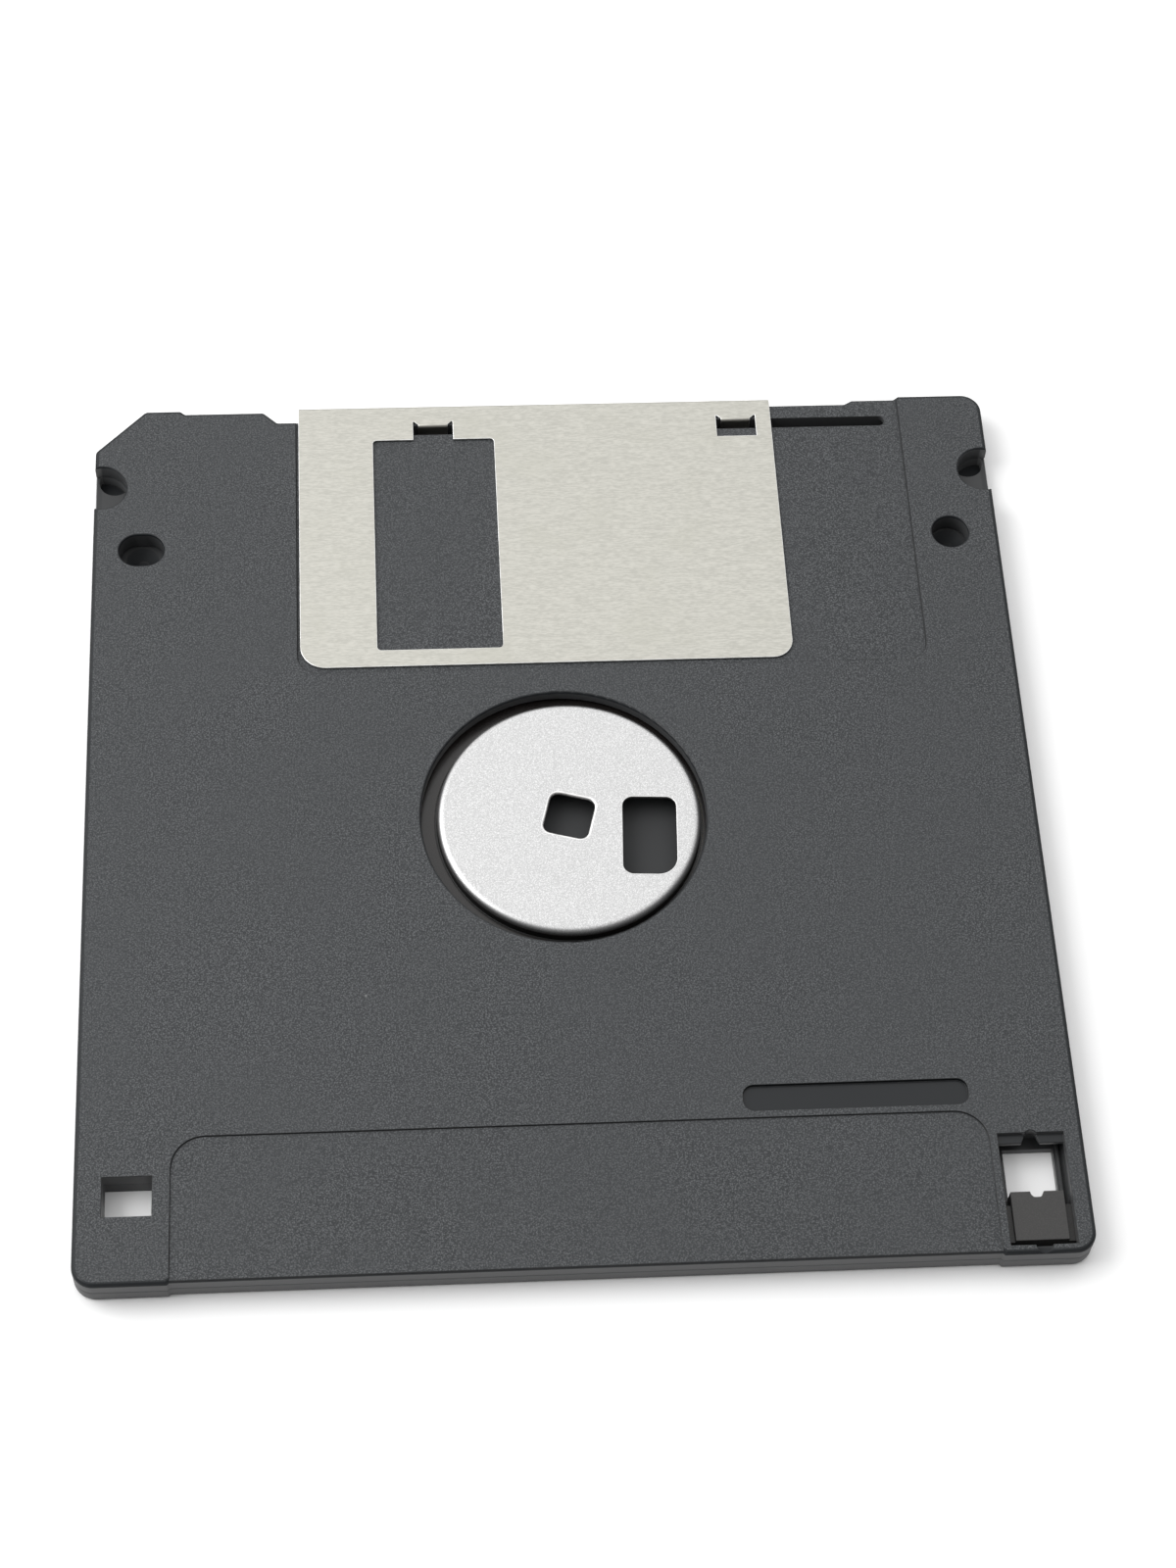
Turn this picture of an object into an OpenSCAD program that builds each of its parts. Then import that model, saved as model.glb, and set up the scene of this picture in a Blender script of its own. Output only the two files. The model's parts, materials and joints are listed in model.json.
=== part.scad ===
// Floppy disk cartridge of 3.5 inches, lying on its label side with the hub side up.
// The origin is under the middle of the case, +Y points to the shutter edge.

/* [Case] */
// Width of the case
case_w = 90; // [89.8:0.1:94]
// Length of the case, shutter edge to rear edge
case_l = 94; // [93.8:0.1:98]
// Thickness of the closed case
case_t = 3.3; // [3.2:0.05:3.7]
// Radius of the three round corners
corner_r = 2; // [1.2:0.1:2.6]
// Length of the cut across the keyed corner, along each side
key_cut = 4.9; // [3.5:0.1:5.5]
// Radius of the edges round both faces
edge_r = 0.4; // [0.2:0.05:0.5]
// Thickness of each face of the case
face_t = 0.9; // [0.8:0.05:0.95]
// Thickness of the outer wall round the corner pockets
rim_t = 1.3; // [1.1:0.1:1.5]
// Height of the front shell, up to the seam
seam_z = 1.65; // [1.5:0.05:1.8]
// Width of the small chamfer on both sides of the seam
seam_chamfer = 0.08; // [0.04:0.01:0.12]

/* [Front edge] */
// How far the front edge is set back behind the shutter
shutter_setback = 0.8; // [0.7:0.05:1]
// How far the front edge is set back in the notch of the drive's lever
lever_setback = 1.7; // [1.4:0.1:1.9]
// Length of the lever notch beyond the left edge of the shutter
lever_lead = 2.1; // [1.5:0.1:3]
// Length of the lever notch under the shutter
lever_reach = 14.7; // [13:0.1:17]
// Set-back of the shelf beside the keyed corner
left_shelf_setback = 0.4; // [0.2:0.05:0.6]
// Length of the shelf beside the keyed corner
left_shelf_l = 7.9; // [6:0.1:9]
// Set-back of the shelf beside the right block
right_shelf_setback = 0.35; // [0.3:0.05:0.6]
// Length of the shelf beside the right block
right_shelf_l = 4.3; // [3:0.1:5]
// Width of the full-length block at the right corner
right_block_w = 8.4; // [7:0.1:9]

/* [Shutter] */
// Thickness of the shutter's sheet
sheet_t = 0.2; // [0.15:0.01:0.22]
// Height of each leaf, from the fold to its free edge
shutter_h = 31.3; // [30:0.1:32]
// Distance from the left side of the case to the closed shutter
shutter_from_left = 20.3; // [19.5:0.1:21]
// Distance from the right side of the case to the closed shutter
shutter_from_right = 21.7; // [21.5:0.1:23]
// Travel of the shutter from closed to open
shutter_travel = 12.5; // [12:0.1:12.6]
// Depth of the shutter's recess in each face
shutter_recess = 0.25; // [0.24:0.01:0.3]
// Outer radius of the fold
fold_r = 0.4; // [0.3:0.05:0.5]
// Radius of the leaf's left free corner
leaf_left_r = 2.5; // [1.5:0.1:3]
// Radius of the leaf's right free corner
leaf_right_r = 2; // [1:0.1:2.5]
// Width of the shutter's window
window_w = 12.2; // [11.6:0.1:12.6]
// Distance from the front edge to the shutter's window
window_from_front = 4.3; // [4.1:0.1:4.8]
// Distance from the shutter's left edge to its window
window_from_left = 7.5; // [7:0.1:8]
// Distance from the leaf's free edge to its window
window_from_free = 1.9; // [1.5:0.1:2]
// Width of each bent-in tab
tab_w = 3; // [2:0.1:3.4]
// Width of the relief on each side of a tab
tab_relief = 0.5; // [0.3:0.05:0.7]
// Length of a tab, from the face of the leaf to its tip
tab_l = 1.7; // [1.4:0.05:1.8]
// Distance from the shutter's left edge to the middle of the first tab
tab_1_from_left = 13.6; // [12.6:0.1:14.6]
// Distance from the shutter's right edge to the middle of the second tab
tab_2_from_right = 3.6; // [3:0.1:5]
// Height of the small slot that the second tab was cut from
tab_slot_h = 2.2; // [1.9:0.1:2.4]

/* [Guide slot] */
// Distance from the front edge to the far side of the guide slot
slot_from_front = 2.4; // [2.35:0.05:2.5]
// Width of the guide slot
slot_w = 1.1; // [0.8:0.1:1.2]

/* [Head window] */
// Width of the head window
head_w = 9; // [8.6:0.1:9.2]
// Distance from the spindle axis to the inner end of the head window
head_in = 19.8; // [19.6:0.1:20.6]
// Distance from the front edge to the outer end of the head window
head_from_front = 5; // [4.9:0.1:5.5]

/* [Hub and disk] */
// Distance from the line of the locating holes to the spindle axis
spindle_from_datum = 31.3; // [31:0.1:31.6]
// How far the loose hub lies to the right of the middle of its hole
hub_shift = 0.5; // [0:0.05:0.6]
// Diameter of the hub
hub_d = 25; // [24.6:0.1:25.2]
// Room round the hub in the hole of the rear shell
hub_hole_gap = 1; // [0.8:0.05:1.05]
// Width of the hub's flange
flange_w = 3; // [2.5:0.1:3.5]
// Thickness of the hub's sheet
hub_sheet_t = 0.3; // [0.2:0.05:0.35]
// Outer radius of the hub's rolled rim
hub_rim_r = 0.7; // [0.5:0.05:0.8]
// Depth of the hub's face below the case
hub_recess = 0.25; // [0.15:0.05:0.4]
// Side of the square spindle hole
spindle_hole = 4.3; // [3.9:0.1:4.5]
// Turn of the square spindle hole
spindle_turn = -15; // [-20:1:-10]
// Width of the drive hole
drive_hole_w = 5.1; // [4.8:0.1:5.4]
// Length of the drive hole
drive_hole_l = 8.3; // [7.8:0.1:8.6]
// Distance from the spindle axis to the middle of the drive hole, across
drive_hole_x = 7.5; // [7.2:0.1:7.8]
// Distance from the spindle axis to the middle of the drive hole, towards the rear
drive_hole_y = 2.35; // [2:0.05:2.6]
// Turn of the drive hole
drive_turn = -2.5; // [-6:0.5:0]
// Distance from the nearest side of the case to the magnetic disk
disk_from_side = 2.1; // [2:0.05:2.5]
// Room round the hub in the hole of the magnetic disk
disk_hole_gap = 0.25; // [0.2:0.05:0.5]
// Thickness of the magnetic disk
disk_t = 0.08; // [0.06:0.01:0.12]
// Thickness of the adhesive ring
adhesive_t = 0.08; // [0.05:0.01:0.1]
// Room round the magnetic disk
disk_room = 1; // [0.9:0.05:1.1]
// Thickness of each liner
liner_t = 0.25; // [0.2:0.01:0.28]

/* [Locating features] */
// Distance from the front edge to the locating holes
datum_from_front = 17; // [16.9:0.1:17.2]
// Distance from each side of the case to its locating hole
datum_from_side = 4.8; // [4.7:0.1:5.1]
// Diameter of the locating hole
datum_d = 3.6; // [3.4:0.05:3.8]
// Extra width of the oblong locating hole
datum_oblong = 0.8; // [0.4:0.1:0.9]
// Radius of the lip round a moulded hole
lip_r = 0.2; // [0.1:0.05:0.25]
// Radius of the handling notches
notch_r = 2.5; // [2:0.1:2.7]
// Distance from the front edge to the middle of the handling notches
notch_from_front = 9.4; // [9:0.1:9.6]
// Distance from the side of the case to the middle of the handling notches
notch_inset = 0.7; // [0.4:0.1:1]
// Radius of the pit in the floor of each handling notch
notch_pit_r = 1.6; // [1.4:0.05:1.7]
// How far each pit lies in front of the middle of its notch
notch_pit_lead = 1.8; // [1.6:0.1:1.9]

/* [Rear edge] */
// Distance from each side of the case to the label recess
label_from_side = 8.5; // [8.2:0.1:12]
// Height of the label recess on the hub side
label_rear_h = 13.85; // [11:0.05:14]
// Height of the label recess on the label side
label_front_h = 56; // [50:0.5:58]
// Depth of the label recess
label_depth = 0.15; // [0.1:0.05:0.2]
// Corner radius of the label recess
label_r = 3; // [1:0.1:4]
// Length of the grip pocket
grip_l = 20.4; // [16:0.1:21]
// Width of the grip pocket
grip_w = 2.5; // [2:0.1:2.6]
// Distance from the right side of the case to the grip pocket
grip_from_side = 9.9; // [9:0.1:11]
// Distance from the rear edge to the middle of the grip pocket
grip_from_rear = 15.8; // [15.6:0.1:17]
// Depth of the grip pocket
grip_depth = 0.35; // [0.2:0.05:0.45]
// Width of the density hole
density_w = 4.4; // [4:0.1:4.6]
// Length of the density hole
density_l = 3.75; // [3.4:0.05:4.2]
// Distance from the left side of the case to the middle of the density hole
density_from_side = 4.7; // [4.6:0.1:5]
// Distance from the rear edge to the middle of the density hole
density_from_rear = 8.3; // [8:0.1:9]

/* [Write protect] */
// Width of the write-protect window
wp_window_w = 6; // [5.8:0.05:6.2]
// Length of the write-protect window
wp_window_l = 10.7; // [10.6:0.1:10.9]
// Distance from the right side of the case to the middle of the window
wp_from_side = 4.75; // [4.7:0.05:4.9]
// Distance from the rear edge to the window
wp_from_rear = 0.8; // [0.7:0.05:0.9]
// Length of the ledge at the inner end of the window
wp_ledge_l = 0.85; // [0.6:0.05:0.9]
// Depth of the ledge and of the thumb notches
wp_ledge_depth = 0.43; // [0.3:0.05:0.5]
// Radius of the thumb notches at the ends of the window
wp_thumb_r = 0.6; // [0.4:0.05:0.7]
// Width of the slider
slider_w = 4.8; // [4.7:0.05:4.9]
// Length of the slider
slider_l = 4.65; // [4.5:0.05:4.8]
// Distance from the rear end of the window to the slider
slider_from_rear = 0.6; // [0.5:0.05:0.7]
// Depth of the slider's face below the case
slider_recess = 0.5; // [0.45:0.05:0.6]
// How far each wing of the slider reaches beyond its side
wing_reach = 0.7; // [0.65:0.05:0.75]
// Side of the sensor hole in the front shell
sensor_hole = 4.6; // [4.4:0.1:4.6]

/* [Spring] */
// Diameter of the spring's wire
wire_d = 0.4; // [0.3:0.01:0.4]
// Mean radius of the spring's coil
coil_r = 1.9; // [1.6:0.1:2]
// Rise of the coil with each turn
coil_pitch = 0.42; // [0.41:0.01:0.46]

/* [Hidden] */
$fn = 96;

// Small distance by which a cutter passes the face that it cuts
past = 0.5;
// Running gap between a thin moving sheet and the face that it slides on
sheet_gap = 0.02;
// Gap between moulded pieces that pass each other
fit_gap = 0.1;
// Gap at the end of a sliding piece's travel
end_gap = 0.05;
// Thickness of the walls round the holes that pass through the corner pockets
inner_wall = 1;

x_side = case_w / 2;
y_front = case_l / 2;
y_rear = -case_l / 2;
roof_z = case_t - face_t;

datum_y = y_front - datum_from_front;
datum_x = x_side - datum_from_side;
datum_r = datum_d / 2;
datum_boss_r = datum_r + inner_wall;
datum_boss_drop = 0.35;
// Height of the floor of the pits that the front shell has under the notches and locating holes
pit_floor_z = 0.4;
// Radius of the small flat floor of the pit beneath a locating hole
pit_floor_r = 0.5;
datum_boss_z = seam_z - datum_boss_drop;
spindle_y = datum_y - spindle_from_datum;

disk_r = min(x_side, y_front - spindle_y, spindle_y - y_rear) - disk_from_side;
cavity_r = disk_r + disk_room;
cavity_wall = 1.2;
hub_hole_r = hub_d / 2 + hub_hole_gap;
flange_r = hub_d / 2 + flange_w;
disk_hole_r = hub_d / 2 + disk_hole_gap;
pocket_r = cavity_r + cavity_wall;

shutter_x0 = shutter_from_left - x_side;
shutter_x1 = x_side - shutter_from_right;
shutter_y0 = y_front - shutter_h;
recess_margin = 0.6;
recess_lead = 0.25;
recess_x0 = shutter_x0 - recess_lead;
recess_x1 = shutter_x1 + shutter_travel + recess_margin;
recess_y0 = shutter_y0 - recess_margin;

leaf_top_z = case_t - sheet_gap;
window_x0 = shutter_x0 + window_from_left;
window_y0 = shutter_y0 + window_from_free;
window_y1 = y_front - window_from_front;
window_r = 0.4;
head_r = 0.8;
tab_x = [shutter_x0 + tab_1_from_left, shutter_x1 - tab_2_from_right];
tab_inner_r = 0.1;
tab_bend_r = sheet_t + tab_inner_r;
ear_l = 0.3;
ear_w = 0.15;
// Room under the tips of the tabs
tab_room = 0.4;

slot_y1 = y_front - slot_from_front;
slot_y0 = slot_y1 - slot_w;
slot_end_gap = 1.2;
slot_x0 = tab_x[0] - tab_w / 2 - slot_end_gap;
slot_x1 = tab_x[1] + tab_w / 2 + shutter_travel + slot_end_gap;
channel_z = leaf_top_z - tab_l - tab_room;
tab_y1 = slot_y1 - end_gap;

hub_top_z = case_t - hub_recess;
hub_seat_z = face_t + liner_t;
hub_float = 0.05;
flange_z = hub_seat_z + hub_float;
adhesive_z = flange_z + hub_sheet_t;
disk_z = adhesive_z + adhesive_t;
// Width of the raised ring that centres the liner round each side of the hub
hub_ring_w = 2.2;
// Room between the hub's rim and the raised ring under its flange
hub_ring_gap = 0.3;
hub_drive_corner_r = 1;
hub_drive_far_r = 1.8;
spindle_corner_r = 0.8;

label_x = x_side - label_from_side;
rear_setback = 0.2;
grip_x1 = x_side - grip_from_side;
grip_y = y_rear + grip_from_rear;
grip_corner_r = 1;
density_x = density_from_side - x_side;
density_y = y_rear + density_from_rear;

wp_x = x_side - wp_from_side;
wp_y0 = y_rear + wp_from_rear;
wp_y1 = wp_y0 + wp_window_l;
wp_ledge_y = wp_y1 - wp_ledge_l;
slider_y0 = wp_y0 + slider_from_rear;
slider_top_z = case_t - slider_recess;
slider_floor_z = face_t + fit_gap;
wing_lift = 0.3;
wing_setback = 1.1;
wing_z0 = slider_floor_z + wing_lift;
wing_z1 = roof_z - fit_gap;
chamber_half_w = slider_w / 2 + wing_reach + fit_gap;
chamber_margin = 0.4;
chamber_y1 = wp_y1 + chamber_margin;
sensor_lead = 0.25;
sensor_y1 = wp_ledge_y + sensor_lead;
// Ribs that the slider clicks over stand on the chamber floor, clear of the slider
rib_t = 0.3;
rib_gap = 0.2;
// How far the thumb notch at the inner end passes the window
thumb_pass = 0.25;
thumb_flare = 0.3;
thumb_widen = 0.15;

notch_x = x_side - notch_inset;
notch_y = y_front - notch_from_front;
// Thickness of the outer wall beside the pit of a notch
notch_pit_wall = 0.3;
notch_pit_x = x_side - notch_pit_wall - notch_pit_r;

leaf_l = 16;
leaf_w = 10;
leaf_t = 0.12;
leaf_from_wall = 18.9;
leaf_x = cavity_r - leaf_from_wall;
leaf_pocket_gap = 0.2;

// Room round a liner, round the hub's flange in it, and round the head window
liner_gap = 0.4;
flange_gap = 0.9;
liner_margin = 1;

// Unit vector from one point towards another
function unit(from, to) = (to - from) / norm(to - from);

function xy(corner) = [corner.x, corner.y];

// Corner i of a closed outline, and the unit vectors of the edges before and after it
function corner_edges(c, i) =
    let (n = len(c), p = xy(c[i]))
    [p, unit(xy(c[(i + n - 1) % n]), p), unit(p, xy(c[(i + 1) % n]))];

function cross_z(u, v) = u.x * v.y - u.y * v.x;

// Smallest radius that a corner of the case keeps
least_r = 0.08;
// Corners with a radius above this one get the finer steps
fine_corner_r = 1;
fine_steps = 10;
coarse_steps = 2;

// Rounded corner of an outline moved inwards by an inset. The arc keeps its centre, so its
// radius shrinks on an outside corner and grows on an inside one.
function corner_arc(c, i, inset) =
    let (
        e = corner_edges(c, i), u = e[1], v = e[2],
        side = sign(cross_z(u, v)),
        p = e[0] + inset * [-u.y - v.y, u.x + v.x] / (1 + u * v),
        r = max(c[i][2] - side * inset, least_r),
        reach = r * sqrt((1 - u * v) / (1 + u * v)),
        centre = p - reach * u + side * r * [-u.y, u.x],
        start = atan2(-side * u.x, side * u.y),
        steps = c[i][2] > fine_corner_r ? fine_steps : coarse_steps
    )
    [
        for (k = [0 : steps]) let (a = start + side * acos(u * v) * k / steps)
            centre + r * [cos(a), sin(a)]
    ];

function outline(inset) =
    [for (i = [0 : len(case_corners) - 1]) each corner_arc(case_corners, i, inset)];

// Corners of the case seen from above, anticlockwise from the rear left, each with its radius
block_x = x_side - right_block_w;
shelf_ramp = 0.5;
shutter_ramp = 0.8;
lever_ramp = 0.9;
lever_slope = 1.4;
left_shelf_x = shutter_x0 - lever_lead - lever_slope;
case_corners = [
    [-x_side, y_rear, corner_r],
    [-label_x - rear_setback, y_rear, 0.1],
    [-label_x, y_rear + rear_setback, 0.1],
    [label_x, y_rear + rear_setback, 0.1],
    [label_x + rear_setback, y_rear, 0.1],
    [x_side, y_rear, corner_r],
    [x_side, y_front, corner_r],
    [block_x, y_front, 0.2],
    [block_x - shelf_ramp, y_front - right_shelf_setback, 0.2],
    [block_x - shelf_ramp - right_shelf_l, y_front - right_shelf_setback, 0.3],
    [block_x - shelf_ramp - right_shelf_l - shutter_ramp, y_front - shutter_setback, 0.3],
    [shutter_x0 + lever_reach + lever_ramp, y_front - shutter_setback, 0.3],
    [shutter_x0 + lever_reach, y_front - lever_setback, 0.3],
    [shutter_x0 - lever_lead, y_front - lever_setback, 0.3],
    [left_shelf_x, y_front - left_shelf_setback, 0.4],
    [left_shelf_x - left_shelf_l, y_front - left_shelf_setback, 0.2],
    [left_shelf_x - left_shelf_l - shelf_ramp, y_front, 0.2],
    [key_cut - x_side, y_front, 0.6],
    [-x_side, y_front - key_cut, 0.6]
];

// Levels of the quarter-round edge: height above the face and inset
edge_steps = 4;
function edge_level(k) =
    let (a = 90 * k / edge_steps)
    [edge_r * (1 - cos(a)), edge_r * (1 - sin(a))];

front_levels = [
    [-past, edge_r],
    for (k = [0 : edge_steps]) edge_level(k),
    [seam_z - seam_chamfer, 0],
    [seam_z, seam_chamfer],
    [seam_z + past, seam_chamfer]
];
rear_levels = [
    [seam_z - past, seam_chamfer],
    [seam_z, seam_chamfer],
    [seam_z + seam_chamfer, 0],
    for (k = [edge_steps : -1 : 0]) [case_t - edge_level(k)[0], edge_level(k)[1]],
    [case_t + past, edge_r]
];

// Slice of the case between two heights: its section at each level is the case outline with
// that level's inset
module case_slice(levels, z0, z1) {
    intersection() {
        case_loft(levels);
        block([-case_w, -case_l, z0], [case_w, case_l, z1]);
    }
}

module case_loft(levels) {
    rings = [for (level = levels) [for (p = outline(level[1])) [p.x, p.y, level[0]]]];
    n = len(rings[0]);
    top = len(levels) - 1;
    polyhedron(
        points = [for (ring = rings) each ring],
        faces = [
            [for (i = [0 : n - 1]) i],
            [for (i = [n - 1 : -1 : 0]) top * n + i],
            for (k = [0 : top - 1]) for (i = [0 : n - 1])
                each [
                    [k * n + i, (k + 1) * n + i, (k + 1) * n + (i + 1) % n],
                    [k * n + i, (k + 1) * n + (i + 1) % n, k * n + (i + 1) % n]
                ]
        ],
        convexity = 6
    );
}

// Box given by its two opposite corners
module block(from, to) {
    translate(from) cube(to - from);
}

// Shortest straight side that a round rectangle keeps between two arcs
least_side = 0.001;

// Rectangle with round corners given by its two opposite corners. With the largest radius its
// ends are half circles.
module round_rect(from, to, r) {
    size = to - from;
    if (size.x > 2 * r + least_side) translate([from.x + r, from.y]) square([size.x - 2 * r, size.y]);
    if (size.y > 2 * r + least_side) translate([from.x, from.y + r]) square([size.x, size.y - 2 * r]);
    for (x = [from.x + r, to.x - r], y = [from.y + r, to.y - r])
        translate([x, y]) circle(r);
}

// Ring with a square section
module ring(outer_r, inner_r, height) {
    difference() {
        cylinder(r = outer_r, h = height);
        translate([0, 0, -past]) cylinder(r = inner_r, h = height + 2 * past);
    }
}

// Half section of the cutter for the round lip at the mouth of a hole, its top at y = 0
module lip_2d(hole_r) {
    difference() {
        translate([0, -lip_r]) square([hole_r + lip_r, lip_r + past]);
        translate([hole_r + lip_r, -lip_r]) circle(lip_r);
    }
}

// Cutter for the round lip at the mouth of a round hole, its top at z = 0
module lip(hole_r) {
    rotate_extrude() lip_2d(hole_r);
}

// The same cutter for an oblong hole, with round ends and two straight sides
module oblong_lip(hole_r, oblong) {
    for (side = [-1, 1]) translate([side * oblong / 2, 0, 0]) lip(hole_r);
    for (side = [0, 1]) mirror([0, side, 0]) translate([-oblong / 2, 0, 0])
        rotate([90, 0, 90]) linear_extrude(oblong) lip_2d(hole_r);
}

// Places its children at both sides of the case
module both_sides() {
    for (side = [-1, 1]) translate([side * notch_x, notch_y]) children();
}

// Oblong or round outline of a locating hole
module datum_2d(r, oblong) {
    for (side = [-1, 1]) translate([side * oblong / 2, 0]) circle(r);
    if (oblong > 0) translate([-oblong / 2, -r]) square([oblong, 2 * r]);
}

// Places the outlines of both locating holes, or of what lies round them, with radius r
module datum_pair_2d(r) {
    translate([datum_x, datum_y]) datum_2d(r, 0);
    translate([-datum_x, datum_y]) datum_2d(r, datum_oblong);
}

// Posts that weld the two shells together
weld_posts = [
    [12 - x_side, y_front - 9.8], [x_side - 8.8, y_front - 9.6],
    [11.5 - x_side, y_rear + 5.5], [x_side - 14, y_rear + 5.5],
    [25 - x_side, y_rear + 3], [x_side - 25, y_rear + 3]
];
post_r = 1.2;
pin_r = 0.6;
pin_l = 0.5;
pin_gap = 0.05;

// Hollow corners of the case, between the round wall of the cavity and the outer wall
module pockets_2d() {
    key_wall = rim_t * sqrt(2);
    px = x_side - rim_t;
    key_line = y_front + x_side - key_cut - key_wall;
    difference() {
        polygon([
            [-px, y_rear + rim_t], [px, y_rear + rim_t], [px, slot_y1],
            [slot_y1 - key_line, slot_y1], [-px, key_line - px]
        ]);
        translate([0, spindle_y]) circle(pocket_r);
        both_sides() circle(notch_r + inner_wall);
        translate([density_x, density_y])
            square([density_w, density_l] + 2 * [inner_wall, inner_wall], center = true);
        block_2d([wp_x - chamber_half_w - inner_wall, y_rear], [x_side, chamber_y1 + inner_wall]);
        for (p = weld_posts) translate(p) circle(post_r);
    }
}

module block_2d(from, to) {
    translate(from) square(to - from);
}

// Cavity, corner pockets and slider chamber between two heights. The rear shell keeps the
// material of its locating bosses.
module hollows(z0, z1, keep_bosses) {
    translate([0, spindle_y, z0]) cylinder(r = cavity_r, h = z1 - z0);
    translate([0, 0, z0]) linear_extrude(z1 - z0) difference() {
        pockets_2d();
        if (keep_bosses) datum_pair_2d(datum_boss_r);
    }
    block([wp_x - chamber_half_w, wp_y0, z0], [wp_x + chamber_half_w, chamber_y1, z1]);
}

// Cutter for the shutter's recess, from z = 0 upwards
module shutter_recess_cut() {
    linear_extrude(shutter_recess + past)
        round_rect([recess_x0, recess_y0], [recess_x1, y_front + 2 * corner_r], corner_r);
}

module head_window_2d() {
    round_rect([-head_w / 2, spindle_y + head_in], [head_w / 2, y_front - head_from_front], head_r);
}

// Cutter for the label recess, open at the rear edge
module label_cut(height) {
    linear_extrude(label_depth + past)
        round_rect([-label_x, y_rear - 2 * label_r], [label_x, y_rear + height], label_r);
}

module density_cut(z0, z1) {
    translate([density_x - density_w / 2, density_y - density_l / 2, z0])
        cube([density_w, density_l, z1 - z0]);
}

// Window of the write-protect slider, with its ledge and its two thumb notches
module wp_window_cut() {
    ledge_z = case_t - wp_ledge_depth;
    x0 = wp_x - wp_window_w / 2;
    x1 = wp_x + wp_window_w / 2;
    block([x0, wp_y0, ledge_z], [x1, wp_y1, case_t + past]);
    block([x0, wp_y0, roof_z - past], [x1, wp_ledge_y, case_t]);
    thumb_y = wp_y1 - wp_thumb_r + thumb_pass;
    flare_r = wp_thumb_r + thumb_flare;
    translate([wp_x, thumb_y, roof_z - past]) cylinder(r = wp_thumb_r, h = case_t);
    translate([wp_x, 0, roof_z - past]) linear_extrude(case_t) polygon([
        [-flare_r, wp_ledge_y - fit_gap], [flare_r, wp_ledge_y - fit_gap],
        [wp_thumb_r, thumb_y], [-wp_thumb_r, thumb_y]
    ]);
    translate([wp_x, wp_y0, ledge_z])
        cylinder(r = wp_thumb_r + thumb_widen, h = wp_ledge_depth + past);
}

module rear_shell() {
    color([0.34, 0.345, 0.35])
    difference() {
        union() {
            difference() {
                case_slice(rear_levels, seam_z, case_t);
                hollows(seam_z - past, roof_z, true);
            }
            translate([0, spindle_y, roof_z - liner_t])
                ring(hub_hole_r + hub_ring_w, hub_hole_r, liner_t);
            translate([0, 0, datum_boss_z]) linear_extrude(roof_z - datum_boss_z)
                datum_pair_2d(datum_boss_r);
            for (p = weld_posts) translate([p.x, p.y, seam_z - pin_l])
                cylinder(r = pin_r, h = 2 * pin_l);
        }
        translate([0, 0, case_t - shutter_recess]) shutter_recess_cut();
        translate([0, spindle_y, seam_z]) cylinder(r = hub_hole_r, h = case_t);
        translate([0, spindle_y, case_t]) lip(hub_hole_r);
        translate([0, 0, roof_z - past]) linear_extrude(case_t) head_window_2d();
        translate([0, 0, channel_z]) linear_extrude(case_t)
            round_rect([slot_x0, slot_y0], [slot_x1, slot_y1], slot_w / 2);
        translate([0, 0, datum_boss_z - past]) linear_extrude(case_t) datum_pair_2d(datum_r);
        translate([datum_x, datum_y, case_t]) lip(datum_r);
        translate([-datum_x, datum_y, case_t]) oblong_lip(datum_r, datum_oblong);
        both_sides() translate([0, 0, seam_z - past]) cylinder(r = notch_r, h = case_t);
        both_sides() translate([0, 0, case_t]) lip(notch_r);
        translate([0, 0, case_t - label_depth]) label_cut(label_rear_h);
        translate([0, 0, case_t - grip_depth]) linear_extrude(grip_depth + past)
            round_rect([grip_x1 - grip_l, grip_y - grip_w / 2], [grip_x1, grip_y + grip_w / 2],
                grip_corner_r);
        density_cut(seam_z - past, case_t + past);
        wp_window_cut();
    }
}

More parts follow.
